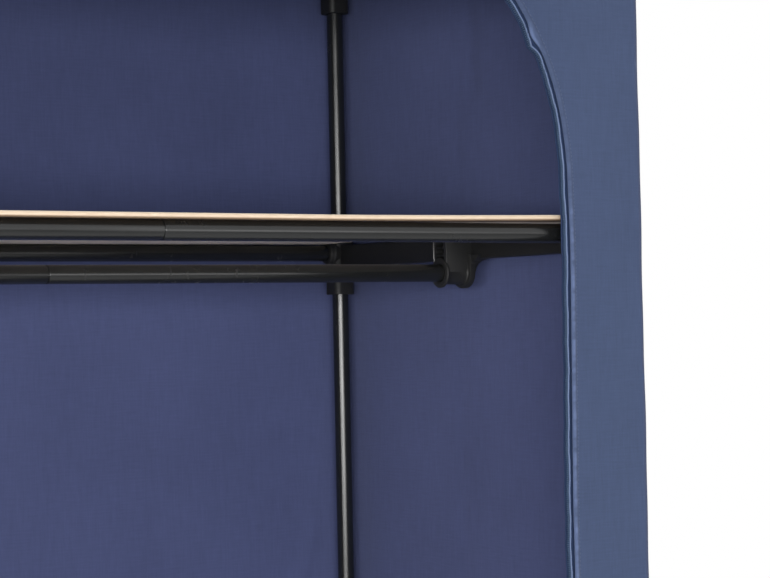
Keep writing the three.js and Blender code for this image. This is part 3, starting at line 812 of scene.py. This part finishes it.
wall_foot, wall_top = (end[2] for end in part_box("cover_back"))
wall_height = wall_top - wall_foot
back_y = box_middle("cover_back")[1]
side_x = box_middle("cover_side_right")[0]
front_y = box_middle("cover_front")[1]
cover_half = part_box("cover_back")[1][0]


def spaced(*stretches):
    """Values in even steps along each stretch (from, to, count), rising, with a shared end only once."""
    return np.unique(np.concatenate([np.linspace(*stretch) for stretch in stretches]))


column_spacing = 0.006


def wall_grid(width):
    """Rows up and columns across a wall panel, with a few rows close together at the hem."""
    up = spaced((0, 0.018, 6), (0.0195, 0.0225, 5), (0.026, wall_height, 226))
    return np.meshgrid(np.linspace(0, width, int(width / column_spacing) + 1), up)


def sewn_panel(node, face, outward, flat_map, size):
    """A whole rectangular panel of the cover on its grid, sewn all round and stretched over a rail."""
    seam = nearest_edge(*flat_map, *size)
    piece = cloth_piece(node + "_cloth", face, outward, joined(*flat_map), seam)
    stand_for(piece, node)


fold_seeds = {"back": 11, "left": 23, "right": 37, "roof": 51}
calm_level = 0.93
calm_station = 0.62
back_size = (2 * cover_half, wall_height)
across, up = wall_grid(2 * cover_half)
calm = ramp(across, calm_station, 0.025) * ramp(up, calm_level, 0.05)
creases = packing_folds(across, up, fold_stations)
relief = slack_cloth(hung_relief(across, up, fold_seeds["back"], *back_size), creases, calm)
relief += hem_step(up) + long_folds(across, up, [
    (0.690, 1.553, 0.831, 1.633, 0.016, 0.0022), (0.600, 1.500, 0.690, 1.553, 0.020, 0.0014),
    (0.837, 1.062, 0.860, 1.128, 0.006, -0.0016), (0.700, 0.980, 0.790, 1.100, 0.040, -0.0022),
    (0.020, 1.670, 0.260, 1.300, 0.020, 0.0034), (0.060, 1.660, 0.190, 1.050, 0.024, 0.0030),
    (0.300, 0.050, 0.420, 0.750, 0.030, 0.0040), (0.120, 0.100, 0.160, 0.950, 0.026, 0.0034),
    (0.520, 0.100, 0.500, 0.700, 0.030, -0.0030), (0.780, 0.050, 0.720, 0.620, 0.028, 0.0036),
    (0.260, 1.655, 0.560, 1.600, 0.022, 0.0026), (0.330, 1.640, 0.400, 1.150, 0.030, -0.0024),
])
back = joined(across - cover_half, back_y + relief, wall_foot + up)
sewn_panel("cover_back", back, (0, 1, 0), (across, up), back_size)

side_folds = [
    (0.235, 1.540, 0.237, 1.640, 0.012, 0.0018), (0.100, 0.080, 0.150, 0.820, 0.028, 0.0036),
    (0.340, 0.100, 0.300, 0.780, 0.026, 0.0032), (0.210, 0.060, 0.230, 0.500, 0.024, -0.0026),
]
left_folds = [
    (0.030, 1.660, 0.280, 1.250, 0.020, 0.0032), (0.430, 1.660, 0.330, 1.300, 0.020, 0.0028),
    (0.140, 1.000, 0.190, 1.500, 0.026, -0.0026),
]
wall_gap = 0.0006
side_from = front_y + wall_gap
side_size = (back_y - wall_gap - side_from, wall_height)
for side, sign in both_sides:
    across, up = wall_grid(side_size[0])
    hung = hung_relief(across, up, fold_seeds[side], *side_size)
    calm = ramp(up, calm_level, 0.05) if side == "right" else 0
    relief = slack_cloth(hung, packing_folds(across, up, (0.258,)), calm)
    relief += hem_step(up) + long_folds(across, up, side_folds)
    if side == "left":
        relief += long_folds(across, up, left_folds)
    face = joined(sign * (side_x + relief), side_from + across, wall_foot + up)
    sewn_panel("cover_side_" + side, face, (sign, 0, 0), (across, up), side_size)


# Cover, roof: the same cloth, sewn to the four walls. It hangs a little between the top rails and side tubes,
# and shows the folds of its packing.

roof_level = box_middle("cover_roof")[2]
roof_size = (2 * cover_half, back_y - front_y)
deepest_sag = 0.010
across, up = np.meshgrid(np.linspace(0, roof_size[0], 113), np.linspace(0, roof_size[1], 59))
sag = deepest_sag * np.sin(np.pi * across / roof_size[0]) ** 0.6 * np.sin(np.pi * up / roof_size[1])
relief = hung_relief(across, up, fold_seeds["roof"], *roof_size) * 0.8 - sag
relief += packing_folds(across, up, fold_stations, (0.23,))
roof = joined(across - cover_half, front_y + up, roof_level + relief)
sewn_panel("cover_roof", roof, (0, 0, 1), (across, up), roof_size)


# Cover, front: a stile at each side and a header over the arched door, whose edge is a turned and sewn hem
# that strays a little from its drawn line. It is open to the floor between the stiles.

opening_half = 0.3655
arch_radius = 0.247
arch_angle = math.radians(50)
shoulder_radius = 0.090
header_level = 1.650
arch_x = opening_half - arch_radius
shoulder_x = arch_x + (arch_radius - shoulder_radius) * math.cos(arch_angle)
shoulder_level = header_level - shoulder_radius
arch_level = shoulder_level - (arch_radius - shoulder_radius) * math.sin(arch_angle)
panel_edge = 0.007


def off_opening(x, z):
    """Distance from the line of the door opening's edge: from the straight side, then from the side arc and
    the tighter shoulder arc, then from the level header. x is taken on the right half."""
    turn = np.arctan2(z - arch_level, np.maximum(x - arch_x, 1e-9))
    side_arc = np.hypot(x - arch_x, z - arch_level) - arch_radius
    shoulder = np.hypot(x - shoulder_x, z - shoulder_level) - shoulder_radius
    arched = np.where(turn < arch_angle, side_arc, shoulder)
    arched = np.where((x < shoulder_x) & (z > shoulder_level), z - header_level, arched)
    return np.where(z < arch_level, x - opening_half, arched)


def arc_reach(radius, height):
    """How far an arc reaches sideways at a height over its centre."""
    return np.sqrt(np.clip(radius ** 2 - height ** 2, 0, None))


def opening_edge_at(z, offset):
    """The x of the opening's edge, moved outwards by offset, at height z below the header."""
    on_side = arch_x + arc_reach(arch_radius + offset, z - arch_level)
    on_shoulder = shoulder_x + arc_reach(shoulder_radius + offset, z - shoulder_level)
    split = arch_level + (arch_radius + offset) * math.sin(arch_angle)
    return np.where(z < arch_level, opening_half + offset, np.where(z < split, on_side, on_shoulder))


wander_height = (
    0, 0.08, 0.3, 0.7, 1.119, 1.178, 1.261, 1.344, 1.402, 1.427, 1.468, 1.509, 1.540, 1.556, 1.574, 1.6, 1.66,
)
wander_millimetres = {
    "right": (0, 0, 0.2, -0.5, -1.4, -1.8, -0.5, 0.8, 1.3, 0.1, -0.3, 0.7, 0.7, 0.3, -0.8, -1.1, 0),
    "left": (0, 0, 1.0, -0.8, 0.6, 0.9, 0.2, -0.6, -0.9, -0.4, 0.6, 0.9, 0.7, 0.5, 0.2, -0.6, 0),
}


def edge_wander(z, side):
    """How far the soft front edge strays outwards from its drawn line, smoothed between a few heights."""
    table = wander_height, np.array(wander_millimetres[side]) / 1000
    value = np.interp(z, *table)
    for step in (0.008, 0.016):
        value = (value + np.interp(z + step, *table) + np.interp(z - step, *table)) / 3
    return value


def hem_lumps(along, seed):
    """Small uneven swellings of a sewn hem along its length, about 0 to 1."""
    phase = np.random.default_rng(seed).uniform(0, 6.28, 6)
    wave = sum(np.sin(along * k + p) for k, p in zip((118, 211, 337, 523, 811, 1290), phase)) / 6
    return 0.5 + 0.9 * wave


ridge_place = 0.0024
ridge_breadth = 0.0019
ridge_rise = 0.0006


def hem_ridge(edge):
    """The turned hem's ridge, a little inside the panel's edge."""
    return bell(edge - ridge_place, ridge_breadth)


stile_seeds = {"left": 61, "right": 77}
stile_top = 1.640
stile_width = 0.16
sharp_hem_top = 1.43
pinch_level = 1.5615
pinch_depth = 0.0034
for side, sign in both_sides:
    seed = stile_seeds[side]
    z = spaced((wall_foot, 1.0, 200), (1.003, stile_top, 300))
    pinch = bell(z - pinch_level, 0.0075) if side == "right" else np.zeros(len(z))
    inner_x = opening_edge_at(z, panel_edge) + edge_wander(z, side) - pinch_depth * pinch
    near = spaced((0, 0.010, 13), (0.0118, 0.024, 8))
    share = np.linspace(0, 1, 22)[1:] ** 1.2
    beyond = np.concatenate([np.zeros(len(near)), share])
    fixed = np.concatenate([near, np.full(len(share), near[-1])])
    x = inner_x[:, None] + fixed + (cover_half - inner_x - near[-1])[:, None] * beyond
    zz = np.broadcast_to(z[:, None], x.shape)
    edge = off_opening(x - edge_wander(zz, side), zz) - panel_edge
    upward = zz - wall_foot
    lumps = hem_lumps(zz, seed)
    ridge = hem_ridge(edge) * (0.30 + 0.70 * ramp(zz, sharp_hem_top, -0.02))
    across = cover_half - x
    relief = hung_relief(across, upward, seed, stile_width, wall_height) * 0.8 + hem_step(upward)
    relief += packing_folds(across, upward, (0.0,))
    relief *= 1 - bell(np.clip(edge, 0, None), 0.02)
    relief += ridge * (ridge_rise + 0.0012 * lumps) + 0.0005 * bell(edge - 0.0005, 0.0012)
    # Painted highlight: the cloth is painted paler along the raised hem ridge and at the pinch, where they
    # would catch the light.
    painted_highlight = np.clip(ridge * (0.35 + 0.9 * lumps), 0, 1) * np.where(edge < 0.006, 1, 0)
    painted_highlight = np.clip(painted_highlight + 1.3 * pinch[:, None] * bell(x - inner_x[:, None] - 0.0015, 0.0018), 0, 1)
    face = joined(sign * x, front_y - relief, zz)
    flat_map = joined(x, upward)
    piece = cloth_piece(f"cover_front_{side}_cloth", face, (0, -1, 0), flat_map, joined(edge, zz), painted_highlight)
    stand_for(piece, "cover_front")

stile_x = float(opening_edge_at(np.array([stile_top]), panel_edge)[0])
columns = spaced(
    (-cover_half, -stile_x, 28), (-stile_x, -shoulder_x, 22), (-shoulder_x, shoulder_x, 90),
    (shoulder_x, stile_x, 22), (stile_x, cover_half, 28),
)
beyond_arch = np.clip(np.abs(columns) - shoulder_x, 0, None)
arch_line = shoulder_level + arc_reach(shoulder_radius + panel_edge, beyond_arch)
lower = np.where(np.abs(columns) > stile_x, stile_top, arch_line)
share = spaced((0, 0.25, 12), (0.3, 1, 12))
zz = lower + (wall_top - lower) * share[:, None]
x = np.broadcast_to(columns, zz.shape)
edge = np.where(np.abs(x) > stile_x, 0.03, off_opening(np.abs(x), zz) - panel_edge)
ridge = hem_ridge(edge)
header_seed = 5
relief = ridge * (ridge_rise + 0.0010 * hem_lumps(x, header_seed))
face = joined(x, front_y - relief, zz)
flat_map = joined(x, zz - wall_foot)
seam = joined(edge, x)
# Painted highlight: the header's hem ridge is painted a little paler.
header = cloth_piece("cover_front_header_cloth", face, (0, -1, 0), flat_map, seam, 0.12 * ridge)
stand_for(header, "cover_front")


# Seam tapes: a round bound seam stands on the four upright corners of the cover and runs once round its roof.

seam_tape = hard_finish("bound_seam_tape", (0.040, 0.054, 0.108), (0.10, 0.13, 0.22), 0.85, 1400.0, 0.00025)
bead = 0.0020
corner_y = {"front": front_y + 0.0004, "rear": back_y - 0.0004}
for side, sign in both_sides:
    for row in ("front", "rear"):
        height = np.linspace(wall_foot, roof_level - 0.001, 180)
        sway = 0.0003 * np.sin(height * 31 + sign) + 0.0002 * np.sin(height * 77)
        path = joined(sign * (side_x + sway), corner_y[row], height)
        bound = solid_piece(f"corner_seam_{row}_{side}", [cord_skin(path, bead)], [seam_tape])
        stand_for(bound, None)
roof_corner = 0.004
roof_steps = 8
roof_path = []
for quarter, (sx, row) in enumerate(((1, "rear"), (-1, "rear"), (-1, "front"), (1, "front"))):
    angle = (quarter + np.linspace(0, 1, 7)) * np.pi / 2
    ring_y = corner_y[row] + roof_corner * (np.sin(angle) - (1 if row == "rear" else -1))
    ring_x = sx * (side_x - roof_corner) + roof_corner * np.cos(angle)
    roof_path.append(joined(ring_x, ring_y, roof_level - 0.0008))
corners_only = np.concatenate(roof_path)
step = np.roll(corners_only, -1, axis=0) - corners_only
share = np.arange(roof_steps)[:, None] / roof_steps
roof_loop = (corners_only[:, None] + step[:, None] * share).reshape(-1, 3)
roof_seam = solid_piece("roof_seam", [cord_skin(roof_loop, bead, loop=True)], [seam_tape], looped=1)
stand_for(roof_seam, None)


# Zips: one half is sewn behind the edge of the front panel on each side, from the stop at the floor up round
# the arch. Each is a woven tape with a wound nylon coil, held down by a bright row of chain stitch.

panel_half_thick = 0.00075
tape_gap = 0.0003
tape_front = front_y + panel_half_thick + tape_gap
tape_back = tape_front + 0.001
coil_front = tape_front - 0.0032
coil_middle = opening_half + 0.0016
stop_height = 0.026
straight_run = arch_level - stop_height
side_run = straight_run + arch_radius * arch_angle
shoulder_turn = math.pi / 2 - arch_angle
zip_run = side_run + shoulder_radius * shoulder_turn
kink_run = 1.5325
kink_depth = 0.0033


def opening_line(run):
    """The opening's edge at a distance run from the foot: its point and its outward direction in x and z."""
    turn = np.clip((run - straight_run) / arch_radius, 0, arch_angle)
    turn = turn + np.clip((run - side_run) / shoulder_radius, 0, shoulder_turn)
    on_shoulder = run > side_run
    centre_x = np.where(on_shoulder, shoulder_x, arch_x)
    centre_z = np.where(on_shoulder, shoulder_level, arch_level)
    radius = np.where(on_shoulder, shoulder_radius, arch_radius)
    z = np.where(run < straight_run, stop_height + run, centre_z + radius * np.sin(turn))
    x = np.where(run < straight_run, opening_half, centre_x + radius * np.cos(turn))
    return x, z, np.cos(turn), np.sin(turn)


def zip_wander(run, side):
    """How far the coil strays from the drawn line: with the panel's edge, with small ripples, and with the
    kink near the top of the right side, where the tape is pinched into the arch."""
    ripple = 0.00028 * np.sin(run * 150 + 1) + 0.0002 * np.sin(run * 61) + 0.00012 * np.sin(run * 410)
    wander = edge_wander(opening_line(run)[1], side) + ripple
    if side == "right":
        above = np.exp(-np.clip(run - kink_run, 0, None) / 0.014)
        below = bell(np.clip(kink_run - run, 0, None), 0.0047)
        wander = wander - kink_depth * above * below + 0.0008 * bell(run - 1.519, 0.005)
    return wander


def zip_point(run, outward, forward, side):
    """A point of the zip: a distance along it, outwards from the opening's edge and forward of the tape."""
    x, z, nx, nz = opening_line(run)
    outward = outward + zip_wander(run, side)
    sign = -1 if side == "left" else 1
    return joined(sign * (x + nx * outward), tape_front - forward, z + nz * outward)


tape_finish = cloth_finish("zip_tape", (0.020, 0.038, 0.098), (0.03, 0.05, 0.11), 0.5, 0.1, 0.0009, 0.00015)
coil_finish = hard_finish("zip_coil_nylon", (0.036, 0.070, 0.135), (0.05, 0.10, 0.18), 0.42, 900.0, 0.00003)
stop_finish = hard_finish("zip_stop_plastic", (0.020, 0.032, 0.080), (0.05, 0.07, 0.13), 0.5, 1500.0, 0.00005)
thread_blue = (0.120, 0.168, 0.300)
stitch_finish = hard_finish("zip_chain_stitch", thread_blue, (0.25, 0.32, 0.5), 0.6, 2500.0, 0.00006)

coil_pitch = 0.0017
stitch_length = 0.0042
for side, sign in both_sides:
    outward = np.array([-0.0004, 0.0012, 0.0032, 0.0055, 0.0085, 0.0115, 0.0140])
    grid_run, grid_out = np.meshgrid(np.linspace(0, zip_run, 560), outward, indexing="ij")
    wave = 0.0003 * np.sin(grid_run * 95 + 7 + 2 * sign) * np.clip(grid_out / 0.007, 0, 1)
    face = zip_point(grid_run, grid_out, -0.0005, side)
    face[..., 1] -= np.clip(wave, -0.0001, 0.0003) * (grid_out < 0.007)
    flat_map = joined(grid_out, grid_run)
    tape = cloth_piece(
        f"zip_{side}_tape", face, (0, -1, 0), flat_map, flat_map + 0.1, 0.0, [tape_finish], 0.0008
    )
    stand_for(tape, "zip_" + side)

    turns = int(zip_run / coil_pitch)
    share = np.linspace(0, 1, turns * 8 + 1)
    spin = share * turns * 2 * np.pi
    loop_out = 0.0014 - 0.0013 * np.cos(spin)
    coil_path = zip_point(share * zip_run, loop_out, 0.0016 + 0.0012 * np.sin(spin), side)
    skins = [cord_skin(coil_path, 0.00042, 5)]
    standing_piece("zip_" + side, "coil", "zip_tape", skins, [coil_finish], crease=80)

    run = np.linspace(0, zip_run, 1500)
    thread_out = 0.0029 + 0.0001 * np.sin(run * 2 * np.pi / stitch_length)
    thread_radius = 0.00082 + 0.00014 * np.sin(run * 2 * np.pi / (stitch_length / 2))
    skins = [cord_skin(zip_point(run, thread_out, 0.0021, side), thread_radius, 8)]
    standing_piece("zip_" + side, "chain_stitch", "zip_tape", skins, [stitch_finish], crease=80)

    half_wide = np.array([3.2, 4, 4, 3.2]) / 1000
    across, up = rounded_rings(half_wide, half_wide - 0.0015, 0.0012)
    level = np.array([-6, -5.2, 5.2, 6])[:, None] / 1000 + stop_height
    rings = joined(sign * coil_middle + across, (coil_front + tape_back) / 2 + up, level)
    standing_piece("zip_" + side, "stop", "zip_tape", [rings], [stop_finish])


# Zip sliders and pulls: painted die-cast sliders parked at the foot of each zip, a front and a back plate
# joined by a bridge, with two ears and a bar on which the stamped pull tab swings.

slider_paint = hard_finish("slider_paint", (0.026, 0.044, 0.105), (0.30, 0.31, 0.33), 0.30, 900.0, 0.00003)
plate_front = coil_front - 0.0023
plate_back = coil_front - 0.0006
rear_front = tape_back + 0.0006
bar_y = plate_front - 0.0027
bar_profile = [(0, -3.6), (0.85, -3.6), (1, -3.4), (1, 3.4), (0.85, 3.6), (0, 3.6)]
eye_profile = [(1.18, -1.9), (1.7, -1.95), (1.86, -1.7), (1.86, 1.7), (1.7, 1.95), (1.18, 1.9)]
ear_depth = np.array([plate_front + 0.0005, plate_front - 0.0008, bar_y, bar_y - 0.0010, bar_y - 0.0016])
ear_half = np.array([2.4, 2.3, 1.9, 1.4, 0.5]) / 1000
neck_profile = [(-6, 1.9), (-1.3, 1.9)]
tab_profile = [
    (-30, 1.6), (-29.6, 2.6), (-28.4, 3.5), (-26.5, 3.95), (-20, 3.7), (-12, 3.1), (-7, 2.9), (-4.4, 2.8),
    (-3.8, 2.3),
]
raised_profile = [(-27.5, 1.6), (-26.8, 2.3), (-18.2, 2.2), (-17.6, 1.6)]


def plate(profile, level, depth_low, depth_high, centre_x, edge):
    """A plate in the x-z plane with rounded edges: profile rows are (height over level, half width), and edge
    is how round it is, in millimetres."""
    height, half = np.array(profile, dtype=float).T
    thick = (depth_high - depth_low) / 2 * 1000
    across, deep = rounded_rings(half, thick, min(edge, thick * 0.95, half.min() * 0.95), 5)
    middle = (depth_high + depth_low) / 2
    return joined(centre_x + across / 1000, middle + deep / 1000, level + height[:, None] / 1000)


for side, sign in both_sides:
    bar_x = sign * coil_middle
    level = box_middle("zip_slider_" + side)[2]
    half_high = (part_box("zip_slider_" + side)[1][2] - level) * 1000
    shield = [
        (-half_high, 2.0), (0.3 - half_high, 3.0), (1.2 - half_high, 3.7), (0, 4.1), (half_high - 2.5, 4.7),
        (half_high - 0.9, 4.6), (half_high - 0.25, 3.8), (half_high, 2.6),
    ]
    bridge = [(0.5 - half_high, 0.7), (0, 0.9), (half_high - 0.5, 0.9)]
    skins = [
        plate(shield, level, plate_front, plate_back, bar_x, 0.8),
        plate(shield, level, rear_front, rear_front + 0.0011, bar_x, 0.5),
        plate(bridge, level, plate_front + 0.0006, rear_front + 0.0006, bar_x - sign * 0.0037, 0.3),
    ]
    for ear_x in (-0.0029, 0.0029):
        along, up = rounded_rings(0.00065, ear_half, 0.0003, 4)
        skins.append(joined(bar_x + ear_x + along, ear_depth[:, None], level + up))
    skins.append(turned(bar_profile, 0, (bar_x, bar_y, level), sides=20))
    standing_piece("zip_slider_" + side, "cast", "zip_metal", skins, [slider_paint], "slider_" + side)

    skins = [turned(eye_profile, 0, (bar_x, bar_y, level), sides=24)]
    for profile, half_thick, edge in (
        (neck_profile, 0.0006, 0.3), (tab_profile, 0.00065, 0.4), (raised_profile, 0.00068, 0.2),
    ):
        skins.append(plate(profile, level, bar_y - half_thick, bar_y + half_thick, bar_x, edge))
    standing_piece("zip_pull_" + side, "tab", "zip_metal", skins, [slider_paint], "pull_" + side, looped=1)


# Rolled door and ties: the door is still sewn to the header. Its cloth hangs down behind the roll, passes
# under it and winds inwards. Two tapes sewn in at the header are closed round it with hook-and-loop.

roll_y = box_middle("door_tie_right")[1]
roll_level = 1.640
roll_radius = 0.0275
roll_pitch = 0.00155
roll_turns = 14.2
sewn_level = 1.6565
sewn_width = 0.004
tie_places = {side: box_middle("door_tie_" + side)[0] for side, sign in both_sides}


def run_along(steps):
    """The distance along a line at each of its points, from the lengths of its steps."""
    return np.concatenate([[0], np.cumsum(steps)])


wind = np.linspace(0, roll_turns * 2 * np.pi, 640)
wind_radius = roll_radius - roll_pitch * wind / (2 * np.pi)
wind_run = run_along(np.diff(wind) * (wind_radius[1:] + wind_radius[:-1]) / 2)
flap_drop = np.linspace(0, 1, 10)
flap_z = sewn_level + (roll_level - sewn_level) * flap_drop
flap_y = front_y + (roll_y + roll_radius - front_y) * flap_drop ** 2
flap_run = run_along(np.hypot(np.diff(flap_z), np.diff(flap_y)))
path_y = np.concatenate([flap_y[:-1], roll_y + wind_radius * np.cos(wind)])
path_z = np.concatenate([flap_z[:-1], roll_level - wind_radius * np.sin(wind)])
path_run = np.concatenate([flap_run[:-1], flap_run[-1] + wind_run])
unrolled_z = header_level - 0.002 - np.clip(path_run - sewn_width, 0, None)
half_width = np.where(path_run < sewn_width, shoulder_x, opening_edge_at(unrolled_z, 0.0))
half_width = np.minimum(half_width, opening_half - 0.001)
scatter = np.random.default_rng(4).normal(0, 0.0011, 44)
scatter = np.interp(path_run, np.linspace(0, path_run[-1], 44), scatter)
share = spaced((-1, -0.97, 4), (-0.97, 0.97, 80), (0.97, 1, 4))
x = half_width[:, None] * share + scatter[:, None] * np.abs(share) ** 8
from_centre_y = (path_y - roll_y)[:, None]
from_centre_z = (path_z - roll_level)[:, None]
on_roll = np.clip((path_run - flap_run[-1] + 0.004) / 0.008, 0, 1)[:, None]
around = np.arctan2(from_centre_z, from_centre_y)
loose = 0.0009 * np.sin(x * 23 + 1.3) * np.sin(around * 2 + x * 9) + 0.0005 * np.sin(x * 61 + around * 3)
for tie_x in tie_places.values():
    loose += 0.0008 * np.cos(around * 11 + x * 30) * np.exp(-(np.abs(x - tie_x) / 0.030) ** 1.5)
    loose -= 0.0014 * bell(x - tie_x, 0.016)
squeeze = 1 + on_roll * loose / roll_radius
drop = 0.0008 * on_roll * (1 - share ** 2)
face = joined(x, roll_y + from_centre_y * squeeze, roll_level + from_centre_z * squeeze - drop)
flat_map = joined(x, path_run[:, None])
seam = joined((1 - np.abs(share)) * half_width[:, None], path_run[:, None])
rolled = cloth_piece("door_roll_cloth", face, (0, 0, 0), flat_map, seam, thickness=0.0009)
stand_for(rolled, "door_roll")

tie_finish = cloth_finish("tie_tape", (0.030, 0.045, 0.115), (0.06, 0.08, 0.16), 0.0022, 0.2, 0.0008, 0.0003)
tie_half = 0.011
tie_start = math.radians(28)
tie_turn = math.radians(372)
tie_inner = 0.0277
for side, sign in both_sides:
    turn = np.linspace(0, tie_turn, 120)
    angle = tie_start + turn
    overlap = np.clip((turn - math.radians(300)) / math.radians(40), 0, 1)
    tie_radius = tie_inner + 0.0011 * overlap + 0.00015 * np.sin(angle * 9)
    lengthwise = run_along(np.diff(angle) * tie_radius[1:])
    across = np.linspace(-tie_half, tie_half, 9)
    angle = angle[:, None]
    radius = tie_radius[:, None] - 0.0002 * (across / tie_half) ** 2
    drift = 0.0012 * np.sin(angle * 1.5 + (1 if side == "left" else 2.4))
    face = joined(
        tie_places[side] + across + drift, roll_y + radius * np.cos(angle),
        roll_level - 0.0006 - radius * np.sin(angle),
    )
    tape_map = joined(across, lengthwise[:, None])
    seam = joined(tie_half - np.abs(across), lengthwise[:, None])
    tie = cloth_piece(f"door_tie_{side}_tape", face, (0, 0, 0), tape_map, seam, 0.0, [tie_finish], 0.0008)
    stand_for(tie, "door_tie_" + side)
